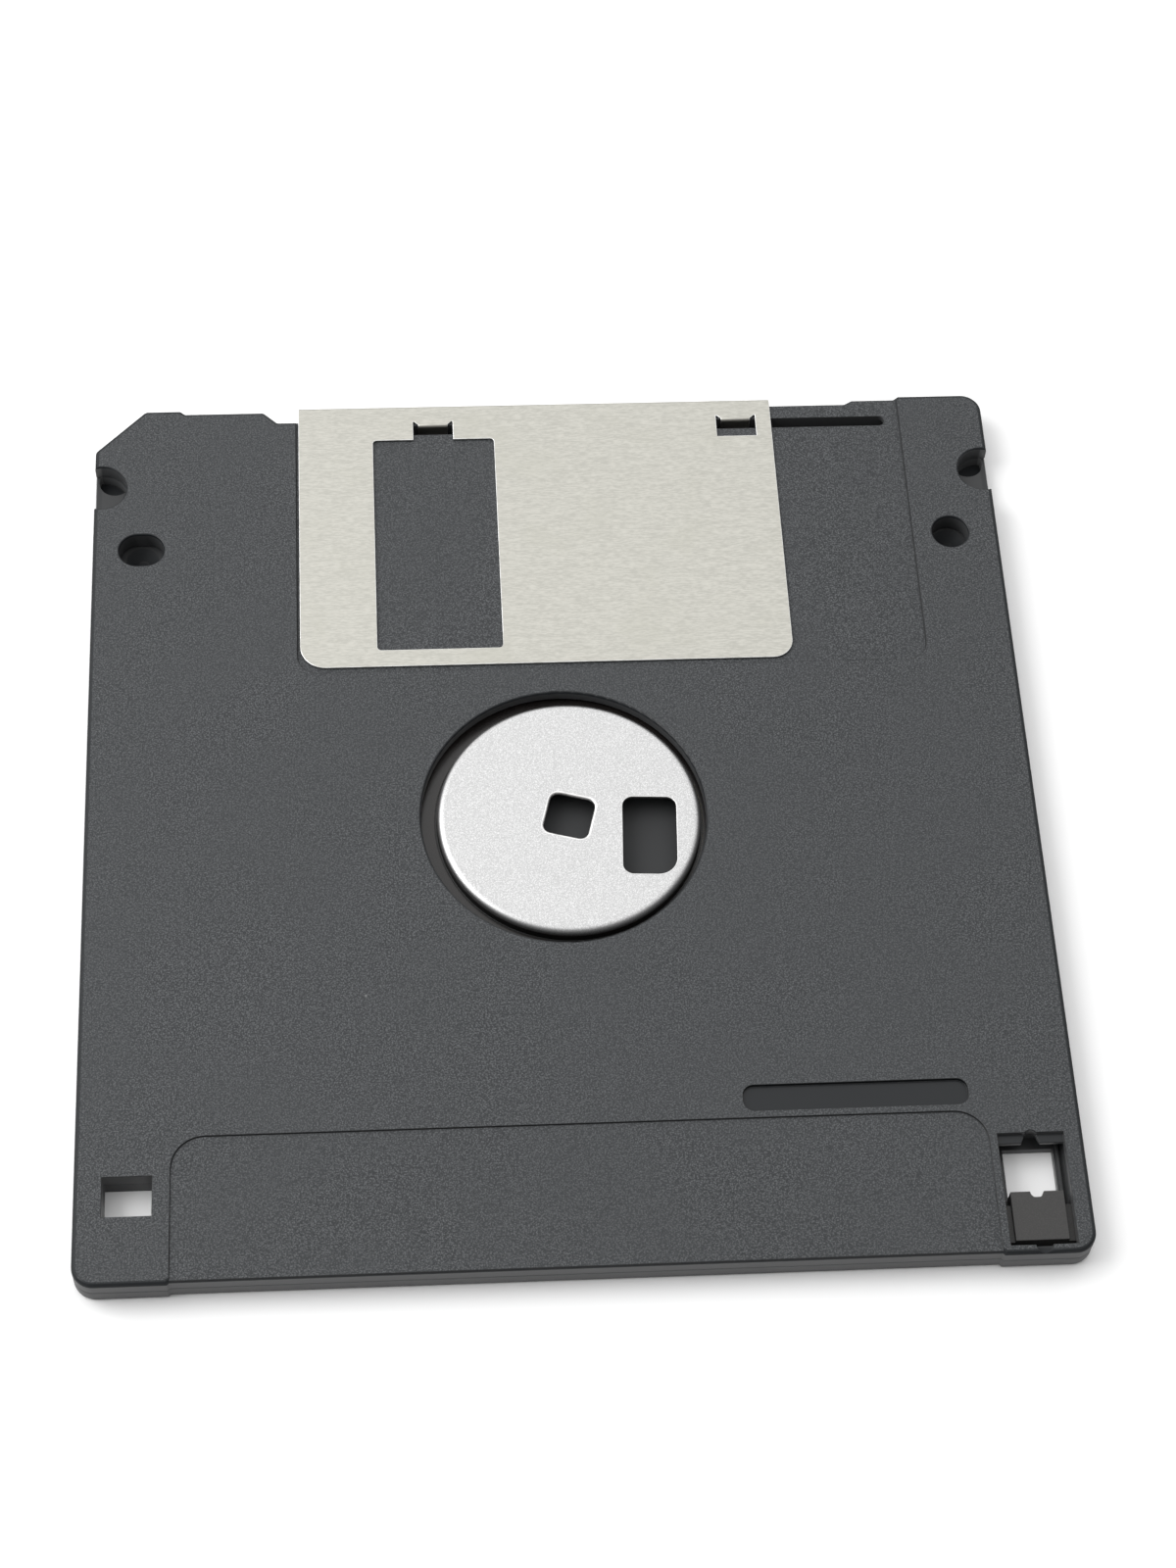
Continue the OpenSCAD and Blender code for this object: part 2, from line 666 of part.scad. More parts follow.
module front_shell() {
    color([0.33, 0.335, 0.34])
    difference() {
        union() {
            difference() {
                case_slice(front_levels, 0, seam_z);
                hollows(face_t, seam_z + past, false);
            }
            translate([0, spindle_y, face_t])
                ring(hub_d / 2 + hub_ring_gap + hub_ring_w, hub_d / 2 + hub_ring_gap, liner_t);
            translate([0, 0, face_t]) linear_extrude(datum_boss_z - fit_gap - face_t)
                datum_pair_2d(datum_boss_r);
            block([wp_x + wp_window_w / 2 - rib_gap - rib_t, wp_y0, face_t],
                [wp_x + wp_window_w / 2 - rib_gap, chamber_y1, face_t + rib_t]);
        }
        translate([0, 0, shutter_recess]) mirror([0, 0, 1]) shutter_recess_cut();
        translate([0, 0, -past]) linear_extrude(face_t + 2 * past) head_window_2d();
        translate([0, 0, channel_z]) linear_extrude(case_t)
            round_rect([slot_x0, slot_y0], [slot_x1, slot_y1], slot_w / 2);
        translate([0, 0, label_depth]) mirror([0, 0, 1]) label_cut(label_front_h);
        density_cut(-past, seam_z + past);
        block([wp_x - sensor_hole / 2, sensor_y1 - sensor_hole, -past],
            [wp_x + sensor_hole / 2, sensor_y1, face_t + past]);
        for (p = weld_posts) translate([p.x, p.y, seam_z - pin_l - fit_gap])
            cylinder(r = pin_r + pin_gap, h = case_t);
        for (side = [-1, 1]) translate([side * datum_x, datum_y, pit_floor_z])
            cylinder(r1 = pit_floor_r, r2 = datum_r, h = datum_boss_z - pit_floor_z);
        translate([0, 0, pit_floor_z]) linear_extrude(case_t) intersection() {
            both_sides() circle(notch_r);
            for (side = [-1, 1]) translate([side * notch_pit_x, notch_y + notch_pit_lead])
                circle(notch_pit_r);
        }
        translate([leaf_x, spindle_y, face_t - leaf_t]) linear_extrude(case_t)
            square([leaf_l, leaf_w] + 2 * [leaf_pocket_gap, leaf_pocket_gap], center = true);
    }
}

// Side view of the folded sheet, with the fold at the front edge
module fold_profile(inset, r) {
    y0 = shutter_y0 - (inset > 0 ? past : 0);
    round_end(y0, y_front - inset, sheet_gap + inset, leaf_top_z - inset, r);
}

// Rectangle whose far side has round corners
module round_end(y0, y1, z0, z1, r) {
    translate([y0, z0]) square([y1 - r - y0, z1 - z0]);
    translate([y0, z0 + r]) square([y1 - y0, z1 - z0 - 2 * r]);
    for (z = [z0 + r, z1 - r]) translate([y1 - r, z]) circle(r);
}

// Outline of a leaf seen from above, with its two free corners rounded
module leaf_2d() {
    difference() {
        block_2d([shutter_x0, shutter_y0], [shutter_x1, y_front + past]);
        leaf_corner(shutter_x0, leaf_left_r, 1);
        leaf_corner(shutter_x1, leaf_right_r, -1);
    }
}

// What a free corner of the leaf loses to its radius
module leaf_corner(x, r, side) {
    translate([x, shutter_y0]) difference() {
        translate([side * (r / 2 - past / 2), r / 2 - past / 2]) square(r + past, center = true);
        translate([side * r, r]) circle(r);
    }
}

// Opening that a tab was bent from, with a relief ear beyond each end of its bend
module tab_opening(x, y0) {
    half = tab_w / 2 + tab_relief;
    y1 = tab_y1 + tab_inner_r;
    block_2d([x - half, y0], [x + half, y1]);
    for (side = [-1, 1]) polygon([
        [x + side * (tab_w / 2), y1 - fit_gap], [x + side * half, y1 - fit_gap],
        [x + side * half, y1 + ear_l], [x + side * (half - ear_w), y1 + ear_l]
    ]);
}

// Tab bent down from the far side of its opening, its face flush with the guide slot
module tab(x) {
    translate([x - tab_w / 2, 0, 0]) rotate([90, 0, 90]) linear_extrude(tab_w) {
        block_2d([tab_y1 - sheet_t, leaf_top_z - tab_l], [tab_y1, leaf_top_z - tab_bend_r]);
        intersection() {
            translate([tab_y1 - sheet_t + tab_bend_r, leaf_top_z - tab_bend_r]) difference() {
                circle(tab_bend_r);
                circle(tab_bend_r - sheet_t);
            }
            block_2d([tab_y1 - sheet_t, leaf_top_z - tab_bend_r],
                [tab_y1 - sheet_t + tab_bend_r, leaf_top_z]);
        }
    }
}

module shutter() {
    color([0.82, 0.82, 0.8]) {
        difference() {
            intersection() {
                translate([shutter_x0, 0, 0]) rotate([90, 0, 90]) linear_extrude(shutter_x1 - shutter_x0)
                difference() {
                    fold_profile(0, fold_r);
                    fold_profile(sheet_t, fold_r - sheet_t);
                }
                translate([0, 0, -past]) linear_extrude(case_t + 2 * past) leaf_2d();
            }
            translate([0, 0, -past]) linear_extrude(case_t + 2 * past)
                round_rect([window_x0, window_y0], [window_x0 + window_w, window_y1], window_r);
            translate([0, 0, case_t / 2]) linear_extrude(case_t) {
                tab_opening(tab_x[0], window_y1 - past);
                tab_opening(tab_x[1], slot_y1 - tab_slot_h);
            }
        }
        for (x = tab_x) tab(x);
    }
}

// Middle of the spring's coil, the end that pushes the second tab, and the end held by the case
coil_from_side = 16.6;
coil_from_front = 8.8;
anchor_from_side = 7.9;
anchor_from_slot = 1.4;
push_from_slot = 0.65;
spring_lift = 0.15;
spring_turns = 2;
coil_c = [x_side - coil_from_side, y_front - coil_from_front];
spring_push = [tab_x[1] + tab_w / 2 + wire_d / 2 + end_gap, slot_y1 - push_from_slot];
spring_anchor = [x_side - anchor_from_side, slot_y1 - anchor_from_slot];
spring_z = face_t + spring_lift + wire_d / 2;

// Angle of the wire's travel on the straight that runs from the coil to a point
function leave_angle(p) =
    let (d = p - coil_c) atan2(d.y, d.x) + asin(coil_r / norm(d));
// Angle of the wire's travel on the straight that runs from a point to the coil
function enter_angle(p) =
    let (d = p - coil_c) atan2(d.y, d.x) + 180 - asin(coil_r / norm(d));

a_in = enter_angle(spring_anchor) - 90;
a_out = leave_angle(spring_push) - 90;
a_total = 360 * spring_turns - (((a_in - a_out) % 360) + 360) % 360;
coil_rise = coil_pitch * a_total / 360;
coil_steps = 40;
wire_sides = 8;
spring_path = [
    [spring_anchor.x, spring_anchor.y, spring_z],
    for (k = [0 : coil_steps]) let (a = a_in + a_total * k / coil_steps) [
        coil_c.x + coil_r * cos(a), coil_c.y + coil_r * sin(a), spring_z + coil_rise * k / coil_steps
    ],
    [spring_push.x, spring_push.y, spring_z + coil_rise]
];

// Wire of round section along a path that stays nearly level
module wire(path, d, sides) {
    n = len(path);
    rings = [for (i = [0 : n - 1])
        let (
            t = unit(path[max(i - 1, 0)], path[min(i + 1, n - 1)]),
            across = unit([0, 0, 0], [-t.y, t.x, 0])
        )
        [for (k = [0 : sides - 1]) let (a = 360 * k / sides)
            path[i] + d / 2 * (cos(a) * across + sin(a) * cross(t, across))]];
    polyhedron(
        points = [for (ring = rings) each ring],
        faces = [
            [for (k = [0 : sides - 1]) k],
            [for (k = [sides - 1 : -1 : 0]) (n - 1) * sides + k],
            for (i = [0 : n - 2]) for (k = [0 : sides - 1]) each [
                [i * sides + k, (i + 1) * sides + k, (i + 1) * sides + (k + 1) % sides],
                [i * sides + k, (i + 1) * sides + (k + 1) % sides, i * sides + (k + 1) % sides]
            ]
        ]
    );
}

module shutter_spring() {
    color([0.62, 0.62, 0.6]) wire(spring_path, wire_d, wire_sides);
}

module write_protect_slider() {
    x0 = wp_x - slider_w / 2;
    x1 = wp_x + slider_w / 2;
    y1 = slider_y0 + slider_l;
    color([0.31, 0.31, 0.31])
    difference() {
        union() {
            block([x0, slider_y0, slider_floor_z], [x1, y1, slider_top_z]);
            block([x0 - wing_reach, slider_y0, wing_z0], [x1 + wing_reach, y1 - wing_setback, wing_z1]);
        }
        translate([wp_x, y1, slider_floor_z - past]) cylinder(r = wp_thumb_r, h = case_t);
    }
}

// Section of the hub's pressed sheet: face, rolled rim, side wall and flange
module hub_section() {
    wall_r = hub_d / 2;
    inner_rim_r = hub_rim_r - hub_sheet_t;
    difference() {
        union() {
            block_2d([0, flange_z], [wall_r - hub_rim_r, hub_top_z]);
            block_2d([0, flange_z], [wall_r, hub_top_z - hub_rim_r]);
            translate([wall_r - hub_rim_r, hub_top_z - hub_rim_r]) circle(hub_rim_r);
            block_2d([0, flange_z], [flange_r, flange_z + hub_sheet_t]);
        }
        block_2d([-past, flange_z - past], [wall_r - hub_rim_r, hub_top_z - hub_sheet_t]);
        block_2d([-past, flange_z - past], [wall_r - hub_sheet_t, hub_top_z - hub_rim_r]);
        translate([wall_r - hub_rim_r, hub_top_z - hub_rim_r]) circle(inner_rim_r);
        block_2d([-wall_r, 0], [0, case_t]);
    }
}

// Drive hole seen from above; its corner nearest the rim has a larger radius
module drive_hole_2d() {
    w = drive_hole_w / 2;
    l = drive_hole_l / 2;
    difference() {
        round_rect([-w, -l], [w, l], hub_drive_corner_r);
        translate([w - hub_drive_far_r, hub_drive_far_r - l]) difference() {
            block_2d([0, -hub_drive_far_r - past], [hub_drive_far_r + past, 0]);
            circle(hub_drive_far_r);
        }
    }
}

module hub() {
    half = spindle_hole / 2;
    color([0.9, 0.9, 0.89])
    translate([hub_shift, spindle_y, 0]) difference() {
        rotate_extrude() hub_section();
        translate([0, 0, seam_z]) linear_extrude(case_t) {
            rotate(spindle_turn) round_rect([-half, -half], [half, half], spindle_corner_r);
            translate([drive_hole_x, -drive_hole_y]) rotate(drive_turn) drive_hole_2d();
        }
    }
}

module hub_adhesive_ring() {
    color([0.75, 0.7, 0.55])
        translate([hub_shift, spindle_y, adhesive_z]) ring(flange_r, disk_hole_r, adhesive_t);
}

module magnetic_disk() {
    color([0.2, 0.15, 0.13])
        translate([hub_shift, spindle_y, disk_z]) ring(disk_r, disk_hole_r, disk_t);
}

// Liner ring with an opening at the head window
module liner(z) {
    color([0.93, 0.93, 0.92]) difference() {
        translate([0, spindle_y, z]) ring(cavity_r - liner_gap, flange_r + flange_gap, liner_t);
        block([-head_w / 2 - liner_margin, spindle_y + head_in - liner_margin, z - past],
            [head_w / 2 + liner_margin, y_front, z + liner_t + past]);
    }
}

module rear_liner() {
    liner(roof_z - liner_t);
}

module front_liner() {
    liner(face_t);
}

module wiper_leaf() {
    color([0.8, 0.78, 0.7])
        translate([leaf_x, spindle_y, face_t - leaf_t / 2])
            cube([leaf_l, leaf_w, leaf_t], center = true);
}

rear_shell();
front_shell();
shutter();
shutter_spring();
write_protect_slider();
hub();
hub_adhesive_ring();
magnetic_disk();
rear_liner();
front_liner();
wiper_leaf();
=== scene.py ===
# %% [markdown]
# # A floppy disk on a white table
# A floppy disk is a flat moulded case, 90 mm by 94 mm and 3.3 mm thick, that holds a thin disk of
# magnetic film. A steel shutter slides along one edge to uncover the film, and a steel hub in
# the middle lets a drive turn it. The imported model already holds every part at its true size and
# place, so this script gives the parts their soft edges, their finishes and their light. All
# sizes are in metres, the origin is on the table under the middle of the case, +Y points to the
# shutter and +Z points up.

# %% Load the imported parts
import json

import bmesh
import bpy
import numpy as np
from mathutils import Matrix, Vector

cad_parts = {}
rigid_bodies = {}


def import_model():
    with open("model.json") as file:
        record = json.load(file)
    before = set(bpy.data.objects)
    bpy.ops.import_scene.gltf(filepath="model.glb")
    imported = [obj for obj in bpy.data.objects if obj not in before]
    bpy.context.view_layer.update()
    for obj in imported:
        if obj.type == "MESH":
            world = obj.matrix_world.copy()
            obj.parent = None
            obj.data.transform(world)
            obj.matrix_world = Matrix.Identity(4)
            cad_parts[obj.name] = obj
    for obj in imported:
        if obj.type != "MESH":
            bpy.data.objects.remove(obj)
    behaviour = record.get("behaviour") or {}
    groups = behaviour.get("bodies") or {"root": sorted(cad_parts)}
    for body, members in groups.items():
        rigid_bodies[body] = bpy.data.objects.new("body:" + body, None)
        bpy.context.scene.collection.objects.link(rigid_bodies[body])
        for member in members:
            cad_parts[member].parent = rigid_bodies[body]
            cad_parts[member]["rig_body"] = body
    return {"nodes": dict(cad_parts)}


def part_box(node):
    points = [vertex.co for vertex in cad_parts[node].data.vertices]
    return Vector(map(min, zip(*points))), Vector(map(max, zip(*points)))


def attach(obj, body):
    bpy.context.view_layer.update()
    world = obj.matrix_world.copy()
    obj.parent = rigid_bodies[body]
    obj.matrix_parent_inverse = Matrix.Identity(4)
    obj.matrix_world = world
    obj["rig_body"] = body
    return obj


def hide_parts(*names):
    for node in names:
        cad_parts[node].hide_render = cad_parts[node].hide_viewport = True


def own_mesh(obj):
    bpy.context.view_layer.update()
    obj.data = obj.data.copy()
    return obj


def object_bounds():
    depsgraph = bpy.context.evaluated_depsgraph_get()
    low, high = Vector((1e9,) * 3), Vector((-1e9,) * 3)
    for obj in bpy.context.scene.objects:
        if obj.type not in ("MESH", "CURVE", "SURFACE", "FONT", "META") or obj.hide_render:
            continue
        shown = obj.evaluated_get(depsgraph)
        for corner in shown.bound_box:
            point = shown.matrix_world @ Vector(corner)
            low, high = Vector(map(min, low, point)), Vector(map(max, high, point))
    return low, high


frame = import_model()
parts = frame["nodes"]
cad_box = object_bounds()
MM = 0.001
print("parts:", ", ".join(sorted(parts)))

# %% [markdown]
# ## Camera
# The camera stands in front of the label edge and looks down at about sixty degrees. Its place
# and its lens were found by fitting the known outline of the case to the picture. A camera that
# is aimed at a point needs only one more number, the roll about its own line of sight.

# %% Aim the camera
CAMERA_PLACE = Vector((-14.77, -151.20, 266.22)) * MM
CAMERA_TARGET = Vector((2.65, 3.84, 0.0)) * MM
CAMERA_ROLL = np.radians(3.97)
PICTURE_HEIGHT = 36.0
LENS = 73.72
NEAREST_SEEN = 0.01

camera = bpy.data.objects.new("camera", bpy.data.cameras.new("camera"))
bpy.context.collection.objects.link(camera)
camera.data.sensor_fit = "VERTICAL"
camera.data.sensor_height = PICTURE_HEIGHT
camera.data.lens = LENS
camera.data.clip_start = NEAREST_SEEN
aim = (CAMERA_TARGET - CAMERA_PLACE).to_track_quat("-Z", "Y").to_matrix().to_4x4()
roll = Matrix.Rotation(CAMERA_ROLL, 4, "Z")
camera.matrix_world = Matrix.Translation(CAMERA_PLACE) @ aim @ roll
bpy.context.scene.camera = camera
print("camera distance:", round((CAMERA_TARGET - CAMERA_PLACE).length, 4), "m")

# %% [markdown]
# ## Table and light
# The disk lies on a white table beside one soft light at its left. The light is an area lamp,
# because its size sets how soft the shadow beside the case is. The world stands for the room,
# which is bright overhead and behind the disk and dim in front of it, where the person with the
# camera stands. That dim side gives the near edges of the dark plastic part of their dark line;
# the rest of that line is painted shade on the rounded edges of the case.

# %% Set the table, the soft light and the room
TABLE_SIDE = 6.0
LIGHT_PLACE = Vector((-0.45, 0.09, 0.42))
LIGHT_SIDE = 0.48
LIGHT_POWER = 2.5
ROOM_BRIGHT_SIDE = Vector((-0.12, 0.5, 0.86)).normalized()
ROOM_BRIGHT = 1.45
ROOM_DIM = 0.2


def table_points(side):
    """Corners of a square with the given side, in the plane z = 0."""
    half = side / 2
    return [(-half, -half, 0), (half, -half, 0), (half, half, 0), (-half, half, 0)]


table_mesh = bpy.data.meshes.new("table")
table_mesh.from_pydata(table_points(TABLE_SIDE), [], [(0, 1, 2, 3)])
table = bpy.data.objects.new("table", table_mesh)
bpy.context.collection.objects.link(table)

softbox = bpy.data.objects.new("softbox", bpy.data.lights.new("softbox", "AREA"))
bpy.context.collection.objects.link(softbox)
softbox.data.size = LIGHT_SIDE
softbox.data.energy = LIGHT_POWER
softbox.location = LIGHT_PLACE
softbox.rotation_euler = (-LIGHT_PLACE).to_track_quat("-Z", "Y").to_euler()

bpy.context.scene.view_settings.view_transform = "Standard"
print("light distance:", round(LIGHT_PLACE.length, 3), "m")

# %% [markdown]
# ## A short way to write shaders
# Every finish below is a small network of nodes. A few helpers keep that short. The first adds
# a node and joins or sets its inputs in the same call, and the others build on it: one sum, one
# smooth ramp, one blend of two colours, and the last step that joins a material's colour,
# roughness and relief to its shader. A node group is built once and then placed in each material
# with its own values.


# %% Helpers for nodes, groups and materials
def add(tree, kind, inputs=None, **settings):
    """New node of a kind in a tree. Its settings are given by name. Each input is given by its
    name or number, as a plain value or as the output that feeds it."""
    node = tree.nodes.new(kind)
    for name, value in settings.items():
        setattr(node, name, value)
    for name, value in (inputs or {}).items():
        if isinstance(value, bpy.types.NodeSocket):
            tree.links.new(value, node.inputs[name])
        else:
            node.inputs[name].default_value = value
    return node


def start_group(name, inputs, outputs):
    """Empty shader group: its tree, its input node and its output node. Each input is a title,
    a type and a first value, and each output is a title and a type."""
    tree = bpy.data.node_groups.new(name, "ShaderNodeTree")
    for title, kind, value in inputs:
        socket = tree.interface.new_socket(title, in_out="INPUT", socket_type=kind)
        if value is not None:
            socket.default_value = value
    for title, kind in outputs:
        tree.interface.new_socket(title, in_out="OUTPUT", socket_type=kind)
    return tree, tree.nodes.new("NodeGroupInput"), tree.nodes.new("NodeGroupOutput")


def place_group(tree, group, inputs):
    """Node that uses a group in a material's tree, with its own inputs."""
    return add(tree, "ShaderNodeGroup", inputs, node_tree=group)


def calc(tree, operation, first, second=0.0):
    """Result of one Math node on two values."""
    return add(tree, "ShaderNodeMath", {0: first, 1: second}, operation=operation).outputs[0]


def ramp(tree, value, low, high, to_low=0.0, to_high=1.0):
    """Value moved smoothly from one range to another, and held at its ends."""
    node = add(tree, "ShaderNodeMapRange", {
        "Value": value, "From Min": low, "From Max": high, "To Min": to_low, "To Max": to_high,
    }, interpolation_type="SMOOTHSTEP")
    return node.outputs["Result"]


def blend(tree, factor, first, second):
    """Colour that goes from the first to the second as the factor goes from 0 to 1."""
    node = add(tree, "ShaderNodeMix", data_type="RGBA")
    for name, value in (("Factor", factor), ("A", first), ("B", second)):
        socket = [s for s in node.inputs if s.name == name and s.enabled][0]
        if isinstance(value, bpy.types.NodeSocket):
            tree.links.new(value, socket)
        else:
            socket.default_value = value
    return [s for s in node.outputs if s.enabled][0]


def new_material(name, **constants):
    """Material with one Principled shader whose constant values sit on its own sockets. Returns
    the material, its tree, the shader and the Object coordinates."""
    material = bpy.data.materials.new(name)
    material.use_nodes = True
    tree = material.node_tree
    shader = tree.nodes["Principled BSDF"]
    for title, value in constants.items():
        shader.inputs[title.replace("_", " ")].default_value = value
    place = add(tree, "ShaderNodeTexCoord").outputs["Object"]
    return material, tree, shader, place


def dress(tree, shader, colour, roughness=None, relief=None):
    """Join a colour, a roughness and a relief to a shader. A relief is a height, the share of
    it that shows, and its depth in metres."""
    tree.links.new(colour, shader.inputs["Base Color"])
    if roughness is not None:
        tree.links.new(roughness, shader.inputs["Roughness"])
    if relief is not None:
        height, share, depth = relief
        bump = add(tree, "ShaderNodeBump", {"Height": height, "Strength": share, "Distance": depth})
        tree.links.new(bump.outputs[0], shader.inputs["Normal"])


def grey(level, warmth=0.0):
    """Linear colour of a grey given on the 0 to 255 scale of a picture; warmth lifts red and
    lowers blue by the same number of steps."""
    steps = np.array([level + warmth, level, level - warmth]) / 255
    linear = np.where(steps > 0.04045, ((steps + 0.055) / 1.055) ** 2.4, steps / 12.92)
    return (*linear.tolist(), 1.0)


# %% [markdown]
# ## The room's light
# How bright the room is in a direction depends on the cosine between that direction and the
# bright side, so it is one dot product and one smooth ramp.

# %% Light the room
DIM_UNTIL = 0.15
BRIGHT_FROM = 0.95

room = bpy.data.worlds.new("room")
bpy.context.scene.world = room
room.use_nodes = True
sky = room.node_tree
toward = add(sky, "ShaderNodeTexCoord").outputs["Generated"]
cosine = add(sky, "ShaderNodeVectorMath", {0: toward, 1: ROOM_BRIGHT_SIDE}, operation="DOT_PRODUCT")
background = sky.nodes["Background"]
background.inputs["Color"].default_value = (1.0, 1.0, 1.0, 1.0)
strength = ramp(sky, cosine.outputs["Value"], DIM_UNTIL, BRIGHT_FROM, ROOM_DIM, ROOM_BRIGHT)
sky.links.new(strength, background.inputs["Strength"])

# %% [markdown]
# ## Grain group
# Moulded plastic takes its matt look from the mould, which is roughened by sparks. The surface
# is a field of tiny pits, about an eighth of a millimetre across on the case. One fine noise
# gives the pits and a cell pattern gives them rims. The tops of the grains are kept as a mask of
# painted glints: where it is set, the materials paint the grain lighter in place of the light on
# it.

# %% Build the grain group
grain, grain_in, grain_out = start_group(
    "moulded_grain",
    [("Place", "NodeSocketVector", None), ("Grains per metre", "NodeSocketFloat", 5000.0)],
    [("Height", "NodeSocketFloat"), ("Painted glints", "NodeSocketFloat")],
)
grain_scale = grain_in.outputs["Grains per metre"]
pits = add(grain, "ShaderNodeTexNoise", {
    "Vector": grain_in.outputs["Place"], "Scale": grain_scale, "Detail": 2.0, "Roughness": 0.65})
rims = add(grain, "ShaderNodeTexVoronoi", {
    "Vector": grain_in.outputs["Place"], "Scale": calc(grain, "MULTIPLY", grain_scale, 0.7)})
rim_depth = calc(grain, "MULTIPLY", rims.outputs["Distance"], 0.35)
height = calc(grain, "SUBTRACT", pits.outputs[0], rim_depth)
grain.links.new(height, grain_out.inputs["Height"])
# The grain tops are the mask of painted glints: lighter colour in place of light caught by the
# grains.
grain.links.new(ramp(grain, height, 0.22, 0.56), grain_out.inputs["Painted glints"])

# %% [markdown]
# ## Brush group
# The shutter's sheet is brushed in one direction, so its scratches are short thin lines. A noise
# that is stretched along one axis gives them. A coarser copy of it gives the slow streaks.

# %% Build the brush group
brush, brush_in, brush_out = start_group(
    "brushed_lines",
    [("Place", "NodeSocketVector", None), ("Lines per metre", "NodeSocketFloat", 7000.0),
     ("Length in lines", "NodeSocketFloat", 5.0)],
    [("Height", "NodeSocketFloat"), ("Streak", "NodeSocketFloat")],
)
across_lines = brush_in.outputs["Lines per metre"]
along_lines = calc(brush, "DIVIDE", across_lines, brush_in.outputs["Length in lines"])
stretch = add(brush, "ShaderNodeCombineXYZ", {
    "X": along_lines, "Y": across_lines, "Z": across_lines})
stretched = add(brush, "ShaderNodeVectorMath", {
    0: brush_in.outputs["Place"], 1: stretch.outputs[0]}, operation="MULTIPLY")
lines = add(brush, "ShaderNodeTexNoise", {
    "Vector": stretched.outputs[0], "Scale": 1.0, "Detail": 3.0, "Roughness": 0.6})
streaks = add(brush, "ShaderNodeTexNoise", {
    "Vector": stretched.outputs[0], "Scale": 0.3, "Detail": 2.0, "Roughness": 0.5})
brush.links.new(lines.outputs[0], brush_out.inputs["Height"])
fine_share = calc(brush, "MULTIPLY", lines.outputs[0], 0.7)
mixed = calc(brush, "ADD", fine_share, calc(brush, "MULTIPLY", streaks.outputs[0], 0.3))
brush.links.new(ramp(brush, mixed, 0.38, 0.62), brush_out.inputs["Streak"])

# %% [markdown]
# ## Edge group and dust group
# Handling leaves dust on a part's top. The rounded edges made below carry an attribute that
# marks their narrow band, and the edge group breaks that band up with noise. The mask it gives
# paints light and shade on the edges: painted shade on the dark plastic, painted highlights on
# the steel and on the slider. The dust group keeps a few cells of a cell pattern and shows a tiny
# dot in the middle of each.

# %% Build the edge group and the dust group
edges, edges_in, edges_out = start_group(
    "painted_edge_light",
    [("Place", "NodeSocketVector", None), ("Patches per metre", "NodeSocketFloat", 900.0)],
    [("Mask", "NodeSocketFloat")],
)
rounded_band = add(edges, "ShaderNodeAttribute", attribute_name="rounded_band")
patches = add(edges, "ShaderNodeTexNoise", {
    "Vector": edges_in.outputs["Place"], "Scale": edges_in.outputs["Patches per metre"],
    "Detail": 2.0})
patch_share = ramp(edges, patches.outputs[0], 0.3, 0.6, 0.35, 1.0)
edge_mask = calc(edges, "MULTIPLY", rounded_band.outputs["Fac"], patch_share)
edges.links.new(edge_mask, edges_out.inputs["Mask"])

dust, dust_in, dust_out = start_group(
    "dust_specks",
    [("Place", "NodeSocketVector", None), ("Cells per metre", "NodeSocketFloat", 260.0),
     ("Share", "NodeSocketFloat", 0.12)],
    [("Mask", "NodeSocketFloat")],
)
cells = add(dust, "ShaderNodeTexVoronoi", {
    "Vector": dust_in.outputs["Place"], "Scale": dust_in.outputs["Cells per metre"]})
shade = add(dust, "ShaderNodeSeparateColor", {0: cells.outputs["Color"]})
chosen = calc(dust, "LESS_THAN", shade.outputs[0], dust_in.outputs["Share"])
dot = ramp(dust, cells.outputs["Distance"], 0.025, 0.045, 1.0, 0.0)
dust.links.new(calc(dust, "MULTIPLY", chosen, dot), dust_out.inputs["Mask"])
print("groups:", ", ".join(g.name for g in bpy.data.node_groups))

# %% [markdown]
# ## Case plastic
# Both halves of the case are one dark grey plastic. Its two faces are grained, and the tops of
# the grains carry painted glints. Its outer walls are matt and the palest. The walls of the holes
# near the shutter and beside the slider are a little darker, a colour lifted as painted light in
# those shaded slots. The rest is smooth and darkest, such as the grip pocket and the round edges;
# that colour is partly the smooth finish and partly painted shade inside the holes and on the
# round edges, and the rounded edges add a painted dark line. The floor inside is lighter, painted
# light on a floor that lies in shade. The place of a point and the direction of the surface there
# tell these apart, so the masks need no painting: a face is level and near the top or the bottom,
# an outer wall is upright and near the outline, a wall of a hole is upright elsewhere, and the
# floor inside is level and low. The small chamfer along the seam counts as outer wall too, which
# is painted light over the shade in the seam's groove.

# %% Make the case plastic
CASE_HALF = cad_box[1]
MID_HEIGHT = 1.65 * MM
FACE_FROM_MIDDLE = 1.36 * MM
FLOOR_HEIGHT = 1.3 * MM
WALL_DEPTH = 0.6 * MM
KEY_CUT = 4.9 * MM
SEAM_BAND = 0.1 * MM
FRONT_FROM_Y = -15 * MM
SLIDER_FROM_X = 37 * MM
GRAIN_RELIEF = 0.048 * MM
PIT_COLOUR = grey(47, -2)
# Painted glints: the grain tops of the case are painted lighter, in place of the light they catch.
GLINT_COLOUR = grey(92, -2)
CLOUD_COLOUR = grey(63, -2)
# Partly the smooth finish, partly painted shade inside the holes and on the round edges.
SMOOTH_AND_SHADE_COLOUR = grey(24, -3)
# Painted light: the shaded walls of the slots near the shutter and beside the slider are lifted
# lighter.
HOLE_WALL_FILL_COLOUR = grey(74, -1)
OUTER_WALL_COLOUR = grey(94, -0.5)
# Painted light: the floor inside the case lies in shade and is lifted lighter.
INNER_FLOOR_FILL_COLOUR = grey(52, -1)
